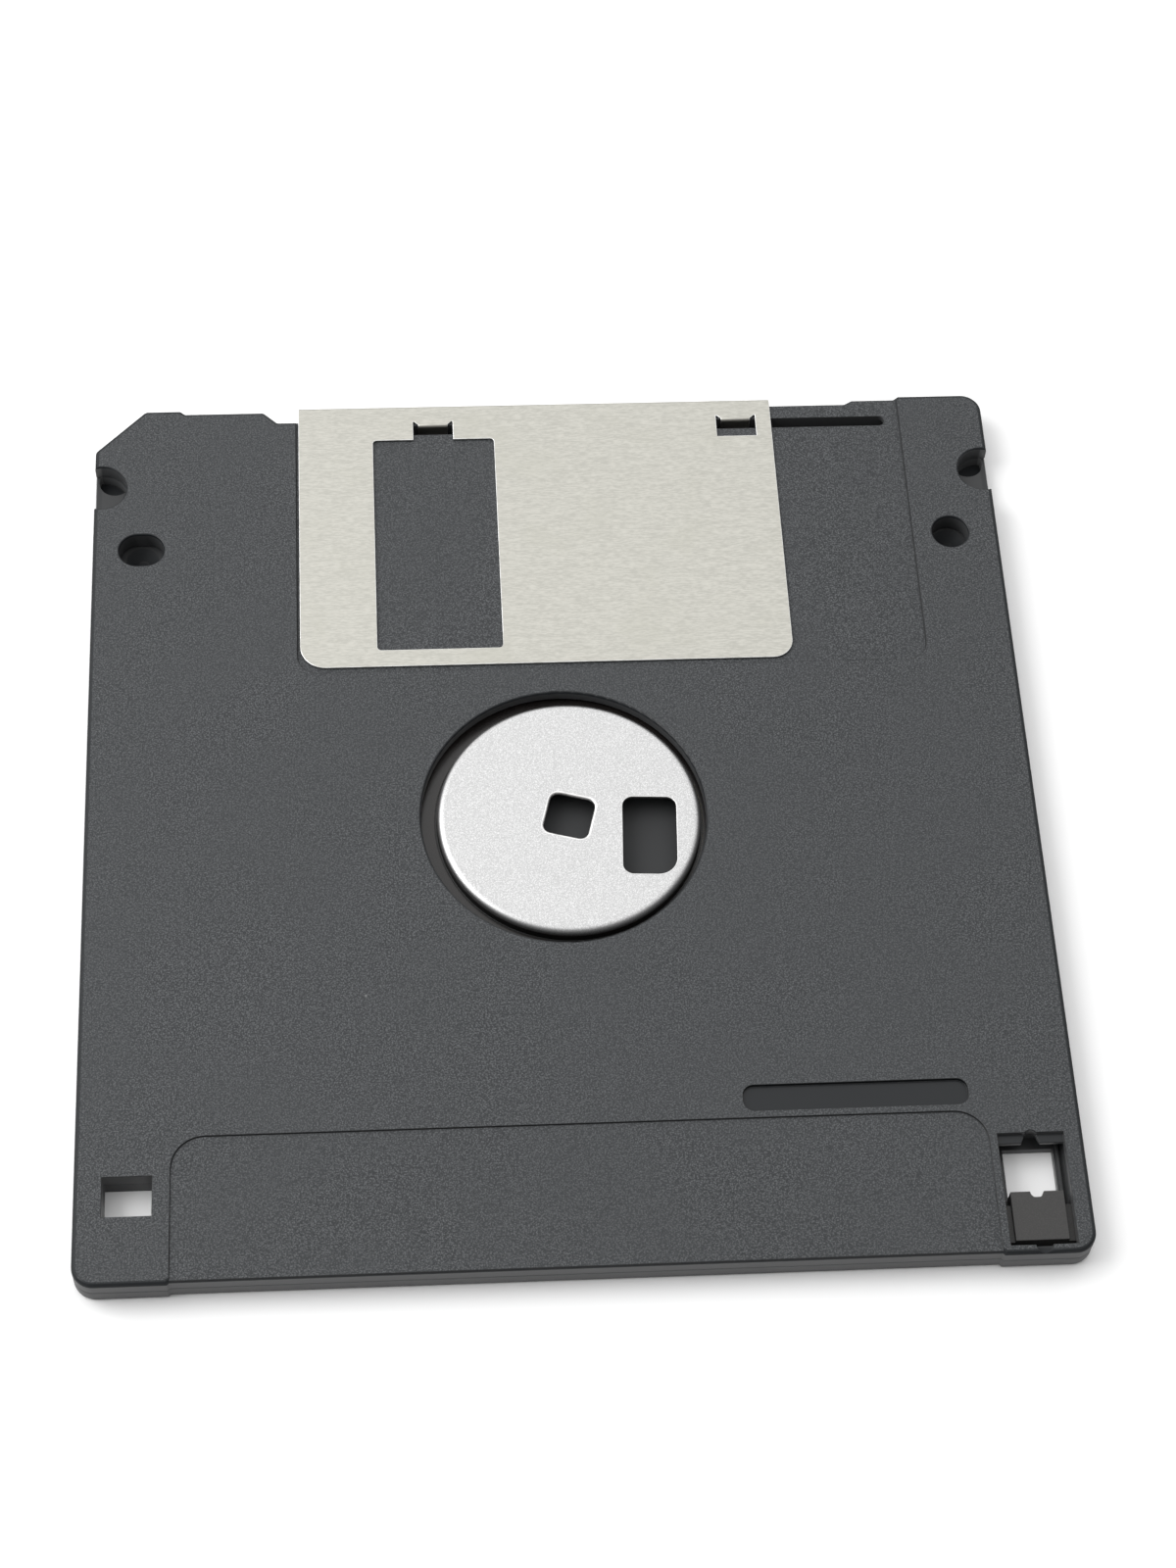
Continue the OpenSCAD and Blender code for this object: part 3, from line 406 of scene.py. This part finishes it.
# Painted shade: the rounded edges of the case are painted darker for the dark line along them.
EDGE_SHADE_COLOUR = grey(40)
DUST_COLOUR = grey(150)
SMOOTH_ROUGHNESS = 0.32
MATT_ROUGHNESS = 0.65

case_plastic, tree, shader, place = new_material("case_plastic", IOR=1.38)
coarse = place_group(tree, grain, {"Place": place, "Grains per metre": 7600.0})
mottle = add(tree, "ShaderNodeTexNoise", {"Vector": place, "Scale": 90.0, "Detail": 3.0})
edge = place_group(tree, edges, {"Place": place})
specks = place_group(tree, dust, {"Place": place})

facing = add(tree, "ShaderNodeNewGeometry").outputs["True Normal"]
tilt = calc(tree, "ABSOLUTE", add(tree, "ShaderNodeSeparateXYZ", {0: facing}).outputs["Z"])
level = ramp(tree, tilt, 0.975, 0.995)
upright = ramp(tree, tilt, 0.02, 0.12, 1.0, 0.0)

axes = add(tree, "ShaderNodeSeparateXYZ", {0: place}).outputs
sideways = calc(tree, "ABSOLUTE", axes["X"])
endways = calc(tree, "ABSOLUTE", axes["Y"])
at_side = calc(tree, "GREATER_THAN", sideways, CASE_HALF.x - WALL_DEPTH)
at_end = calc(tree, "GREATER_THAN", endways, CASE_HALF.y - WALL_DEPTH)
key_cut_reach = CASE_HALF.x + CASE_HALF.y - KEY_CUT - WALL_DEPTH
at_key_cut = calc(tree, "GREATER_THAN", calc(tree, "ADD", sideways, axes["Y"]), key_cut_reach)
by_outline = calc(tree, "MAXIMUM", calc(tree, "MAXIMUM", at_side, at_end), at_key_cut)
by_front = ramp(tree, axes["Y"], FRONT_FROM_Y - 1 * MM, FRONT_FROM_Y)
by_slider = ramp(tree, axes["X"], SLIDER_FROM_X - 1 * MM, SLIDER_FROM_X)
from_middle = calc(tree, "ABSOLUTE", calc(tree, "SUBTRACT", axes["Z"], MID_HEIGHT))
by_seam = ramp(tree, from_middle, SEAM_BAND, 2 * SEAM_BAND, 1.0, 0.0)
by_face = ramp(tree, from_middle, FACE_FROM_MIDDLE - 0.02 * MM, FACE_FROM_MIDDLE)
low_half = ramp(tree, axes["Z"], MID_HEIGHT - SEAM_BAND, MID_HEIGHT, 1.0, 0.0)
from_floor = calc(tree, "ABSOLUTE", calc(tree, "SUBTRACT", axes["Z"], FLOOR_HEIGHT))
by_floor = ramp(tree, from_floor, 0.45 * MM, 0.7 * MM, 1.0, 0.0)

grained = calc(tree, "MULTIPLY", by_face, level)
# The seam band takes the outer wall's colour: painted light over the shade in the seam's groove.
outer_wall = calc(tree, "MULTIPLY", by_outline, calc(tree, "MAXIMUM", upright, by_seam))
hole_wall = calc(tree, "MULTIPLY", upright, calc(tree, "MAXIMUM", by_front, by_slider))
inner_floor = calc(tree, "MULTIPLY", level, by_floor)
matt = calc(tree, "MAXIMUM", calc(tree, "MULTIPLY", low_half, by_front), by_outline)

field = blend(tree, coarse.outputs["Painted glints"], PIT_COLOUR, GLINT_COLOUR)
cloudy = ramp(tree, mottle.outputs[0], 0.35, 0.65, 0.0, 0.35)
field = blend(tree, cloudy, field, CLOUD_COLOUR)
# Painted light on the shaded slot walls near the front and beside the slider.
plain = blend(tree, hole_wall, SMOOTH_AND_SHADE_COLOUR, HOLE_WALL_FILL_COLOUR)
plain = blend(tree, outer_wall, plain, OUTER_WALL_COLOUR)
# Painted light on the shaded floor inside the case.
plain = blend(tree, inner_floor, plain, INNER_FLOOR_FILL_COLOUR)
colour = blend(tree, grained, plain, field)
off_seam = ramp(tree, by_seam, 0.0, 1.0, 0.6, 0.0)
# Painted shade on the rounded edges of the case, kept off the seam.
colour = blend(tree, calc(tree, "MULTIPLY", edge.outputs["Mask"], off_seam), colour, EDGE_SHADE_COLOUR)
colour = blend(tree, calc(tree, "MULTIPLY", specks.outputs["Mask"], 0.4), colour, DUST_COLOUR)

grained_off_edges = calc(tree, "MULTIPLY", grained, calc(tree, "SUBTRACT", 1.0, edge.outputs["Mask"]))
grained_roughness = ramp(tree, coarse.outputs["Height"], 0.2, 0.6, 0.62, 0.46)
plain_roughness = ramp(tree, matt, 0.0, 1.0, SMOOTH_ROUGHNESS, MATT_ROUGHNESS)
roughness = add(
    tree, "ShaderNodeMix", {0: grained_off_edges, 2: plain_roughness, 3: grained_roughness}, data_type="FLOAT")
dress(tree, shader, colour, roughness.outputs[0], (coarse.outputs["Height"], grained_off_edges, GRAIN_RELIEF))

# %% [markdown]
# ## Slider plastic
# The write-protect slider is a separate small moulding, smooth and slightly warmer than the case.

# %% Make the slider plastic
FINE_RELIEF = 0.012 * MM

slider_plastic, tree, shader, place = new_material("slider_plastic", IOR=1.38)
fine = place_group(tree, grain, {"Place": place, "Grains per metre": 9000.0})
edge = place_group(tree, edges, {"Place": place, "Patches per metre": 1500.0})
# Painted glints on the slider: its grain tops are painted a little lighter.
colour = blend(tree, fine.outputs["Painted glints"], grey(54, 0.5), grey(60, 1))
# Painted highlight: the slider's rounded edges are painted lighter.
colour = blend(tree, calc(tree, "MULTIPLY", edge.outputs["Mask"], 0.5), colour, grey(66))
roughness = ramp(tree, fine.outputs["Height"], 0.2, 0.6, 0.5, 0.38)
dress(tree, shader, colour, roughness, (fine.outputs["Height"], 0.35, FINE_RELIEF))

# %% [markdown]
# ## Shutter steel and hub steel
# The shutter is stainless sheet, brushed along its slide, pale and slightly warm. The hub is
# plated steel with a fine even grain, so it is whiter and has no direction. Its side wall, below
# the rolled rim, is painted dark, a painted shade on the wall that faces the gap round the hub.
# Both are metallic shaders: what they show is mostly the soft light above, broken up by their
# relief. Their rounded edges carry painted highlights, and the hub's grain tops painted glints.

# %% Make both steels
STEEL_DARK = (0.414, 0.408, 0.371, 1.0)
STEEL_LIGHT = (0.492, 0.484, 0.441, 1.0)
STEEL_STAIN = (0.43, 0.425, 0.375, 1.0)
BRUSH_RELIEF = 0.01 * MM
HUB_SHADE_BELOW = 2.5 * MM

shutter_steel, tree, shader, place = new_material("shutter_steel", Metallic=1.0)
strokes = place_group(tree, brush, {"Place": place})
edge = place_group(tree, edges, {"Place": place})
stain = add(tree, "ShaderNodeTexNoise", {"Vector": place, "Scale": 160.0, "Detail": 3.0})
colour = blend(tree, strokes.outputs["Streak"], STEEL_DARK, STEEL_LIGHT)
colour = blend(tree, ramp(tree, stain.outputs[0], 0.5, 0.75, 0.0, 0.4), colour, STEEL_STAIN)
# Painted highlight: the shutter's rounded edges are painted near white, in place of the light they
# catch.
colour = blend(tree, edge.outputs["Mask"], colour, grey(240))
roughness = ramp(tree, strokes.outputs["Streak"], 0.0, 1.0, 0.44, 0.36)
dress(tree, shader, colour, roughness, (strokes.outputs["Height"], 0.5, BRUSH_RELIEF))

hub_steel, tree, shader, place = new_material("hub_steel", Metallic=1.0)
fine = place_group(tree, grain, {"Place": place, "Grains per metre": 11000.0})
edge = place_group(tree, edges, {"Place": place})
# Painted glints on the hub: its grain tops are painted whiter.
colour = blend(tree, fine.outputs["Painted glints"], grey(183), grey(218))
# Painted highlight: the hub's rounded edges, the rolled rim of the spindle hole among them, are
# painted near white.
colour = blend(tree, edge.outputs["Mask"], colour, grey(244, 1))
height = add(tree, "ShaderNodeSeparateXYZ", {0: place}).outputs["Z"]
under_rim = ramp(tree, height, HUB_SHADE_BELOW - 0.2 * MM, HUB_SHADE_BELOW)
# Painted shade: the hub's side wall below the rim is painted dark.
colour = blend(tree, under_rim, grey(60), colour)
roughness = ramp(tree, fine.outputs["Painted glints"], 0.0, 1.0, 0.42, 0.34)
dress(tree, shader, colour, roughness, (fine.outputs["Height"], 0.5, FINE_RELIEF))

# %% [markdown]
# ## Materials inside the case
# The film is a dark brown coating with a low sheen. The liners are a white non-woven cloth of
# tangled fibres. The glue ring is dull and pale, the leaf under the liner is a clear-white
# plastic sheet, and the spring is drawn steel wire.

# %% Make the film, the cloth, the glue, the leaf and the wire
FILM_DARK = (0.011, 0.0095, 0.009, 1.0)
FILM_LIGHT = (0.018, 0.015, 0.014, 1.0)
GLUE_DARK = (0.5, 0.42, 0.25, 1.0)
GLUE_LIGHT = (0.66, 0.58, 0.4, 1.0)
FIBRE_RELIEF = 0.03 * MM

film_coat, tree, shader, place = new_material("film_coat", IOR=1.5)
haze = add(tree, "ShaderNodeTexNoise", {"Vector": place, "Scale": 120.0, "Detail": 4.0})
colour = blend(tree, haze.outputs[0], FILM_DARK, FILM_LIGHT)
dress(tree, shader, colour, ramp(tree, haze.outputs[0], 0.3, 0.7, 0.2, 0.3))

cloth, tree, shader, place = new_material("liner_cloth", Roughness=0.92, Sheen_Weight=0.3)
fibres = place_group(tree, brush, {
    "Place": place, "Lines per metre": 5200.0, "Length in lines": 14.0})
turned = add(tree, "ShaderNodeMapping", {"Vector": place, "Rotation": (0, 0, 1.2)})
crossing = place_group(tree, brush, {
    "Place": turned.outputs[0], "Lines per metre": 4300.0, "Length in lines": 12.0})
tangle = calc(tree, "MAXIMUM", fibres.outputs["Height"], crossing.outputs["Height"])
colour = blend(tree, ramp(tree, tangle, 0.45, 0.7), grey(205, 2), grey(240, 1))
dress(tree, shader, colour, relief=(tangle, 0.8, FIBRE_RELIEF))

glue, tree, shader, place = new_material("glue", Roughness=0.6)
blotch = add(tree, "ShaderNodeTexNoise", {"Vector": place, "Scale": 700.0, "Detail": 2.0})
dress(tree, shader, blend(tree, blotch.outputs[0], GLUE_DARK, GLUE_LIGHT))

leaf_sheet, tree, shader, place = new_material("leaf_sheet", IOR=1.5)
scuff = place_group(tree, brush, {"Place": place, "Lines per metre": 3000.0})
colour = blend(tree, scuff.outputs["Streak"], grey(190, 6), grey(212, 5))
dress(tree, shader, colour, ramp(tree, scuff.outputs["Height"], 0.3, 0.7, 0.3, 0.45))

wire_steel, tree, shader, place = new_material("wire_steel", Metallic=1.0)
drawn = place_group(tree, brush, {"Place": place, "Lines per metre": 9000.0})
colour = blend(tree, drawn.outputs["Streak"], grey(170), grey(205, 2))
dress(tree, shader, colour, ramp(tree, drawn.outputs["Height"], 0.3, 0.7, 0.25, 0.4))

table_top, tree, shader, place = new_material("table_top", Roughness=0.8)
shader.inputs["Base Color"].default_value = grey(252)
table.data.materials.append(table_top)
print("materials:", len(bpy.data.materials))

# %% [markdown]
# ## A new mesh in the place of a imported part
# Each dressed piece stands for one imported part. It takes that part's place, moves with the same
# body, and carries the material it is given.


# %% Put a finished mesh in its place
def put_in_place(name, mesh, material, part):
    """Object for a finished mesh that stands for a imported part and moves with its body."""
    mesh.materials.append(material)
    piece = bpy.data.objects.new(name, mesh)
    bpy.context.collection.objects.link(piece)
    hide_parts(part)
    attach(piece, parts[part]["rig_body"])
    return piece


# %% [markdown]
# ## Soft edges for the moulded and pressed parts
# No real edge is perfectly sharp: a moulded edge is rounded by its mould and a punched edge by
# its punch, and that thin round is what catches the light. Each of these parts is a copy of the
# imported mesh. Its loose triangles are joined first, then the flat ones are merged into whole
# faces, and then the sharp edges are rounded. The new narrow faces are marked with an attribute,
# the mask for the painted shade and painted highlights on the edges. An edge stays sharp where a
# face beside it is narrower than the rounding, so no face folds over. A few edges have a width of
# their own: the seam between the halves of the case is a fine line, the rear edge of the label
# recess is a wider one, and the spindle hole has a wide rolled rim.

# %% Copy a part and round its edges
EDGE_WIDTH = 0.06 * MM
JOIN_WITHIN = 0.002 * MM
SHARP = np.radians(28)
FLAT = np.radians(0.6)
ROOM = 1.2


def has_room(edge, width):
    """True where both faces of an edge are wide enough for the rounding. A face's width across
    its edge is about its area over the length of the edge."""
    return min(f.calc_area() for f in edge.link_faces) > ROOM * width * edge.calc_length()


def round_edges(surface, layer, edges, width, steps):
    """Round the edges by a width on both sides, where there is room, and mark the new faces in the
    layer that masks the painted edge shade and highlights. Overlaps aren't clamped, because one
    tiny edge would then shrink every rounding."""
    rounded = bmesh.ops.bevel(
        surface, geom=[e for e in edges if has_room(e, width)], offset=width, segments=steps,
        profile=0.5, affect="EDGES", clamp_overlap=False, loop_slide=True)
    for face in rounded["faces"]:
        face[layer] = 1.0


def is_sharp(edge):
    """True for an edge between two faces that meet at more than the angle SHARP."""
    return len(edge.link_faces) == 2 and edge.calc_face_angle() > SHARP


def soften(part, name, material, special=()):
    """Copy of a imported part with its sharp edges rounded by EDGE_WIDTH. Special is a list of
    pairs, a test of an edge and a width: the edges that pass a test are rounded first, by its
    width. A wide rounding gets four steps, a usual one gets two and a fine line gets one."""
    mesh = parts[part].data.copy()
    mesh.name = name
    surface = bmesh.new()
    surface.from_mesh(mesh)
    layer = surface.faces.layers.float.new("rounded_band")
    bmesh.ops.remove_doubles(surface, verts=surface.verts, dist=JOIN_WITHIN)
    bmesh.ops.dissolve_limit(surface, angle_limit=FLAT, verts=surface.verts, edges=surface.edges)
    sharp = [e for e in surface.edges if is_sharp(e)]
    for test, own_width in special:
        chosen = [e for e in sharp if test(e)]
        others = [e for e in sharp if not test(e)]
        round_edges(surface, layer, chosen, own_width, 4 if own_width > EDGE_WIDTH else 1)
        sharp = [e for e in others if e.is_valid]
    round_edges(surface, layer, sharp, EDGE_WIDTH, 2)
    for face in surface.faces:
        face.smooth = True
    surface.to_mesh(mesh)
    surface.free()
    mesh.materials.clear()
    piece = put_in_place(name, mesh, material, part)
    even = piece.modifiers.new("even_shading", "WEIGHTED_NORMAL")
    even.keep_sharp = True
    print(name, len(mesh.polygons), "faces,", len(sharp), "sharp edges")


# %% [markdown]
# ## Edges with a width of their own
# A test tells by the place of both ends whether an edge is one of these. The case, the shutter,
# the hub and the slider are then rounded.

# %% Round the case, the shutter, the hub and the slider
IN_PLANE = 0.005 * MM
SEAM_WIDTH = 0.02 * MM
LABEL_DEPTH = 0.15 * MM
LABEL_EDGE_IN = 0.4 * MM
LABEL_EDGE_WIDTH = 0.095 * MM
SPINDLE_REACH = 3.4 * MM
SPINDLE_ROUND = 0.24 * MM
hub_low, hub_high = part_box("hub")
hub_middle = (hub_low + hub_high) / 2


def at_seam(edge):
    """True for an edge that lies in the plane where the two halves of the case meet."""
    return all(abs(v.co.z - MID_HEIGHT) < IN_PLANE for v in edge.verts)


def at_label_edge(edge):
    """True for an edge between the floor of a label recess and the rear wall."""
    return all(
        v.co.y < cad_box[0].y + LABEL_EDGE_IN
        and abs(abs(v.co.z - MID_HEIGHT) - (MID_HEIGHT - LABEL_DEPTH)) < IN_PLANE
        for v in edge.verts)


def at_spindle_hole(edge):
    """True for an edge of the hub's upper face that lies round the spindle hole."""
    ends = [v.co for v in edge.verts]
    on_top = all(abs(end.z - hub_high.z) < IN_PLANE for end in ends)
    return on_top and all((end - hub_middle).xy.length < SPINDLE_REACH for end in ends)


case_edges = [(at_seam, SEAM_WIDTH), (at_label_edge, LABEL_EDGE_WIDTH)]
soften("rear_shell", "hub_side_case", case_plastic, case_edges)
soften("front_shell", "label_side_case", case_plastic, case_edges)
soften("shutter", "shutter_sheet", shutter_steel)
soften("hub", "hub_plate", hub_steel, [(at_spindle_hole, SPINDLE_ROUND)])
soften("write_protect_slider", "slider", slider_plastic)

# %% [markdown]
# ## Surfaces from rings of points
# The spring and the film are both one outline carried along a path: a small circle along the
# bent wire, and a flat rectangle around a circle. One function joins the rings of points into a
# skin, and closes it with end caps or by joining the last ring to the first.


# %% Join rings of points into a skin
def skin(name, rings, closed):
    """Mesh through an array of rings, path steps by ring points by 3. Each ring joins the next
    one with a band of quads. The ends are capped, unless the path is closed."""
    steps, around = rings.shape[:2]
    bands = steps if closed else steps - 1
    i, j = np.meshgrid(np.arange(bands), np.arange(around), indexing="ij")
    nearer, further, beside = i * around, (i + 1) % steps * around, (j + 1) % around
    quads = np.stack([nearer + j, nearer + beside, further + beside, further + j], -1)
    faces = quads.reshape(-1, 4).tolist()
    if not closed:
        faces += [list(range(around))[::-1], list(range((steps - 1) * around, steps * around))]
    mesh = bpy.data.meshes.new(name)
    mesh.from_pydata(rings.reshape(-1, 3).tolist(), [], faces)
    mesh.shade_smooth()
    return mesh


# %% [markdown]
# ## Shutter spring
# A torsion spring pushes the shutter closed. One leg starts at the wall of the case, the wire
# makes its coil, and the other leg ends at the shutter's second tab. The centre line is a helix
# between two straight legs that both touch it. When the shutter opens, the real spring folds up
# between the tab and the wall; the piece here keeps one shape and moves with the spring's body.

# %% Bend the spring's wire
spring_low, spring_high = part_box("shutter_spring")
WIRE_R = 0.2 * MM
COIL_R = 1.9 * MM
COIL_CENTRE = np.array([28.4, 38.2]) * MM
WALL_END = np.array([37.1, 43.2]) * MM
TAB_END = np.array([21.45, 43.95]) * MM
COIL_TURNS = 2
COIL_STEPS = 90
WIRE_SIDES = 16


def touch_angle(point, side):
    """Angle, seen from the coil's centre, at which the straight wire from a point touches the
    coil: the direction of the point, turned by the arc cosine of radius over distance. The side
    is 1 for a turn to the left and -1 for a turn to the right."""
    away = point - COIL_CENTRE
    return np.arctan2(away[1], away[0]) + side * np.arccos(COIL_R / np.hypot(*away))


start_angle = touch_angle(WALL_END, 1)
end_angle = touch_angle(TAB_END, -1)
turned_by = 2 * np.pi * COIL_TURNS - (start_angle - end_angle) % (2 * np.pi)
angles = start_angle + turned_by * np.linspace(0, 1, COIL_STEPS)
rise = (spring_high.z - spring_low.z - 2 * WIRE_R) * np.linspace(0, 1, COIL_STEPS)
helix = np.stack([
    COIL_CENTRE[0] + COIL_R * np.cos(angles), COIL_CENTRE[1] + COIL_R * np.sin(angles),
    spring_low.z + WIRE_R + rise], 1)
wire_line = np.vstack([[*WALL_END, helix[0, 2]], helix, [*TAB_END, helix[-1, 2]]])

ahead = np.gradient(wire_line, axis=0)
ahead /= np.linalg.norm(ahead, axis=1, keepdims=True)
across = np.cross(ahead, (0, 0, 1))
across /= np.linalg.norm(across, axis=1, keepdims=True)
upward = np.cross(across, ahead)
turn = np.linspace(0, 2 * np.pi, WIRE_SIDES, endpoint=False)[None, :, None]
outward = np.cos(turn) * across[:, None] + np.sin(turn) * upward[:, None]
wire_rings = wire_line[:, None] + WIRE_R * outward
spring = put_in_place(
    "spring_wire", skin("spring_wire", wire_rings[:, ::-1], False), wire_steel,
    "shutter_spring")
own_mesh(spring)
wire_length = float(np.linalg.norm(np.diff(wire_line, axis=0), axis=1).sum())
print("wire length:", round(wire_length / MM, 1), "mm")

# %% [markdown]
# ## Magnetic film
# The film is a flexible ring, eight hundredths of a millimetre thick, and never quite flat. Its
# section is a thin rectangle carried round the spindle. Its height follows two slow waves round
# the disk, which grow towards the rim.

# %% Lay out the film
film_low, film_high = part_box("magnetic_disk")
spindle = (film_low + film_high) / 2
FILM_HOLE_R = 12.75 * MM
FILM_WAVE = 0.03 * MM
FILM_STEPS_ROUND = 240
FILM_STEPS_OUT = 12
FILM_SHARP = np.radians(50)

film_r = float(film_high.x - film_low.x) / 2
around = np.linspace(0, 2 * np.pi, FILM_STEPS_ROUND, endpoint=False)
radii = np.linspace(FILM_HOLE_R, film_r, FILM_STEPS_OUT)
section_r = np.concatenate([radii, radii[::-1]])
section_z = np.repeat([film_low.z, film_high.z], FILM_STEPS_OUT)
swell = ((section_r - FILM_HOLE_R) / (film_r - FILM_HOLE_R)) ** 2
wave = FILM_WAVE * (np.cos(3 * around) + 0.5 * np.cos(5 * around + 1))
film_rings = np.stack([
    spindle.x + np.outer(np.cos(around), section_r),
    spindle.y + np.outer(np.sin(around), section_r),
    section_z + np.outer(wave, swell)], -1)
film = put_in_place(
    "film", skin("film", film_rings, True), film_coat, "magnetic_disk")
film.data.set_sharp_from_angle(angle=FILM_SHARP)

# %% [markdown]
# ## Cloth liners
# A ring of soft cloth lines each half of the case and wipes the film. It is open where the heads
# reach in. The sheet is a grid of radius by share of the way round: at each radius the gap's
# half angle is the arc sine of its half width over the radius, and the gap's inner end is round.

# %% Cut the liners
LINER_THICK = 0.2 * MM
GAP_HALF = 5.5 * MM
GAP_END_R = 18.5 * MM
LINER_IN_R = 16.4 * MM
LINER_STEPS_ROUND = 260
LINER_STEPS_IN = 6
LINER_STEPS_OUT = 34
GAP_EDGE = 0.1 * MM
MERGE_WITHIN = 0.001 * MM
RIPPLE = 0.02 * MM
RIPPLES_ROUND = 9
RIPPLE_PER_MM = 0.9
liner_low, liner_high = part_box("front_liner")
outer_r = float(liner_high.x - liner_low.x) / 2
centre_y = float(liner_low.y + liner_high.y) / 2


def liner_mesh(name, level, ripple_phase):
    """Grid of the liner's mid surface at a level: the radius runs outwards, and at each radius
    the angle runs from one side of the gap round to the other. A small ripple lies on it, a sine
    of the angle times a sine of the radius."""
    inside_gap = np.linspace(LINER_IN_R, GAP_END_R, LINER_STEPS_IN)
    beside_gap = np.linspace(GAP_END_R + GAP_EDGE, outer_r, LINER_STEPS_OUT)
    r = np.concatenate([inside_gap, beside_gap])[:, None]
    into_end = np.clip((GAP_END_R + GAP_HALF - r) / GAP_HALF, 0, 1)
    half_width = np.where(r > GAP_END_R, GAP_HALF * np.sqrt(1 - into_end**2), 0)
    half_angle = np.arcsin(half_width / r)
    share = np.linspace(0, 1, LINER_STEPS_ROUND)[None, :]
    angle = np.pi / 2 + half_angle + share * 2 * (np.pi - half_angle)
    ripple = RIPPLE * np.sin(RIPPLES_ROUND * angle + ripple_phase) * np.sin(r / MM * RIPPLE_PER_MM)
    points = np.stack([r * np.cos(angle), centre_y + r * np.sin(angle), level + ripple], -1)
    rows, columns = points.shape[:2]
    i, j = np.meshgrid(np.arange(rows - 1), np.arange(columns - 1), indexing="ij")
    corner = i * columns + j
    quads = np.stack([corner, corner + columns, corner + columns + 1, corner + 1], -1)
    mesh = bpy.data.meshes.new(name)
    mesh.from_pydata(points.reshape(-1, 3).tolist(), [], quads.reshape(-1, 4).tolist())
    surface = bmesh.new()
    surface.from_mesh(mesh)
    bmesh.ops.remove_doubles(surface, verts=surface.verts, dist=MERGE_WITHIN)
    surface.to_mesh(mesh)
    surface.free()
    mesh.shade_smooth()
    return mesh


for part, phase in (("front_liner", 0.0), ("rear_liner", 2.0)):
    low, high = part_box(part)
    mesh = liner_mesh(part + "_cloth", float(low.z + high.z) / 2, phase)
    liner = put_in_place(part + "_cloth", mesh, cloth, part)
    thick = liner.modifiers.new("thickness", "SOLIDIFY")
    thick.thickness = LINER_THICK
    thick.offset = 0

# %% [markdown]
# ## Parts that stay as they are
# The glue ring and the leaf under the liner are thin flat sheets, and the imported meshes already
# have their true shape. They only need their materials.

# %% Give the glue ring and the leaf their finishes
for part, material in (("hub_adhesive_ring", glue), ("wiper_leaf", leaf_sheet)):
    parts[part].data.materials.clear()
    parts[part].data.materials.append(material)
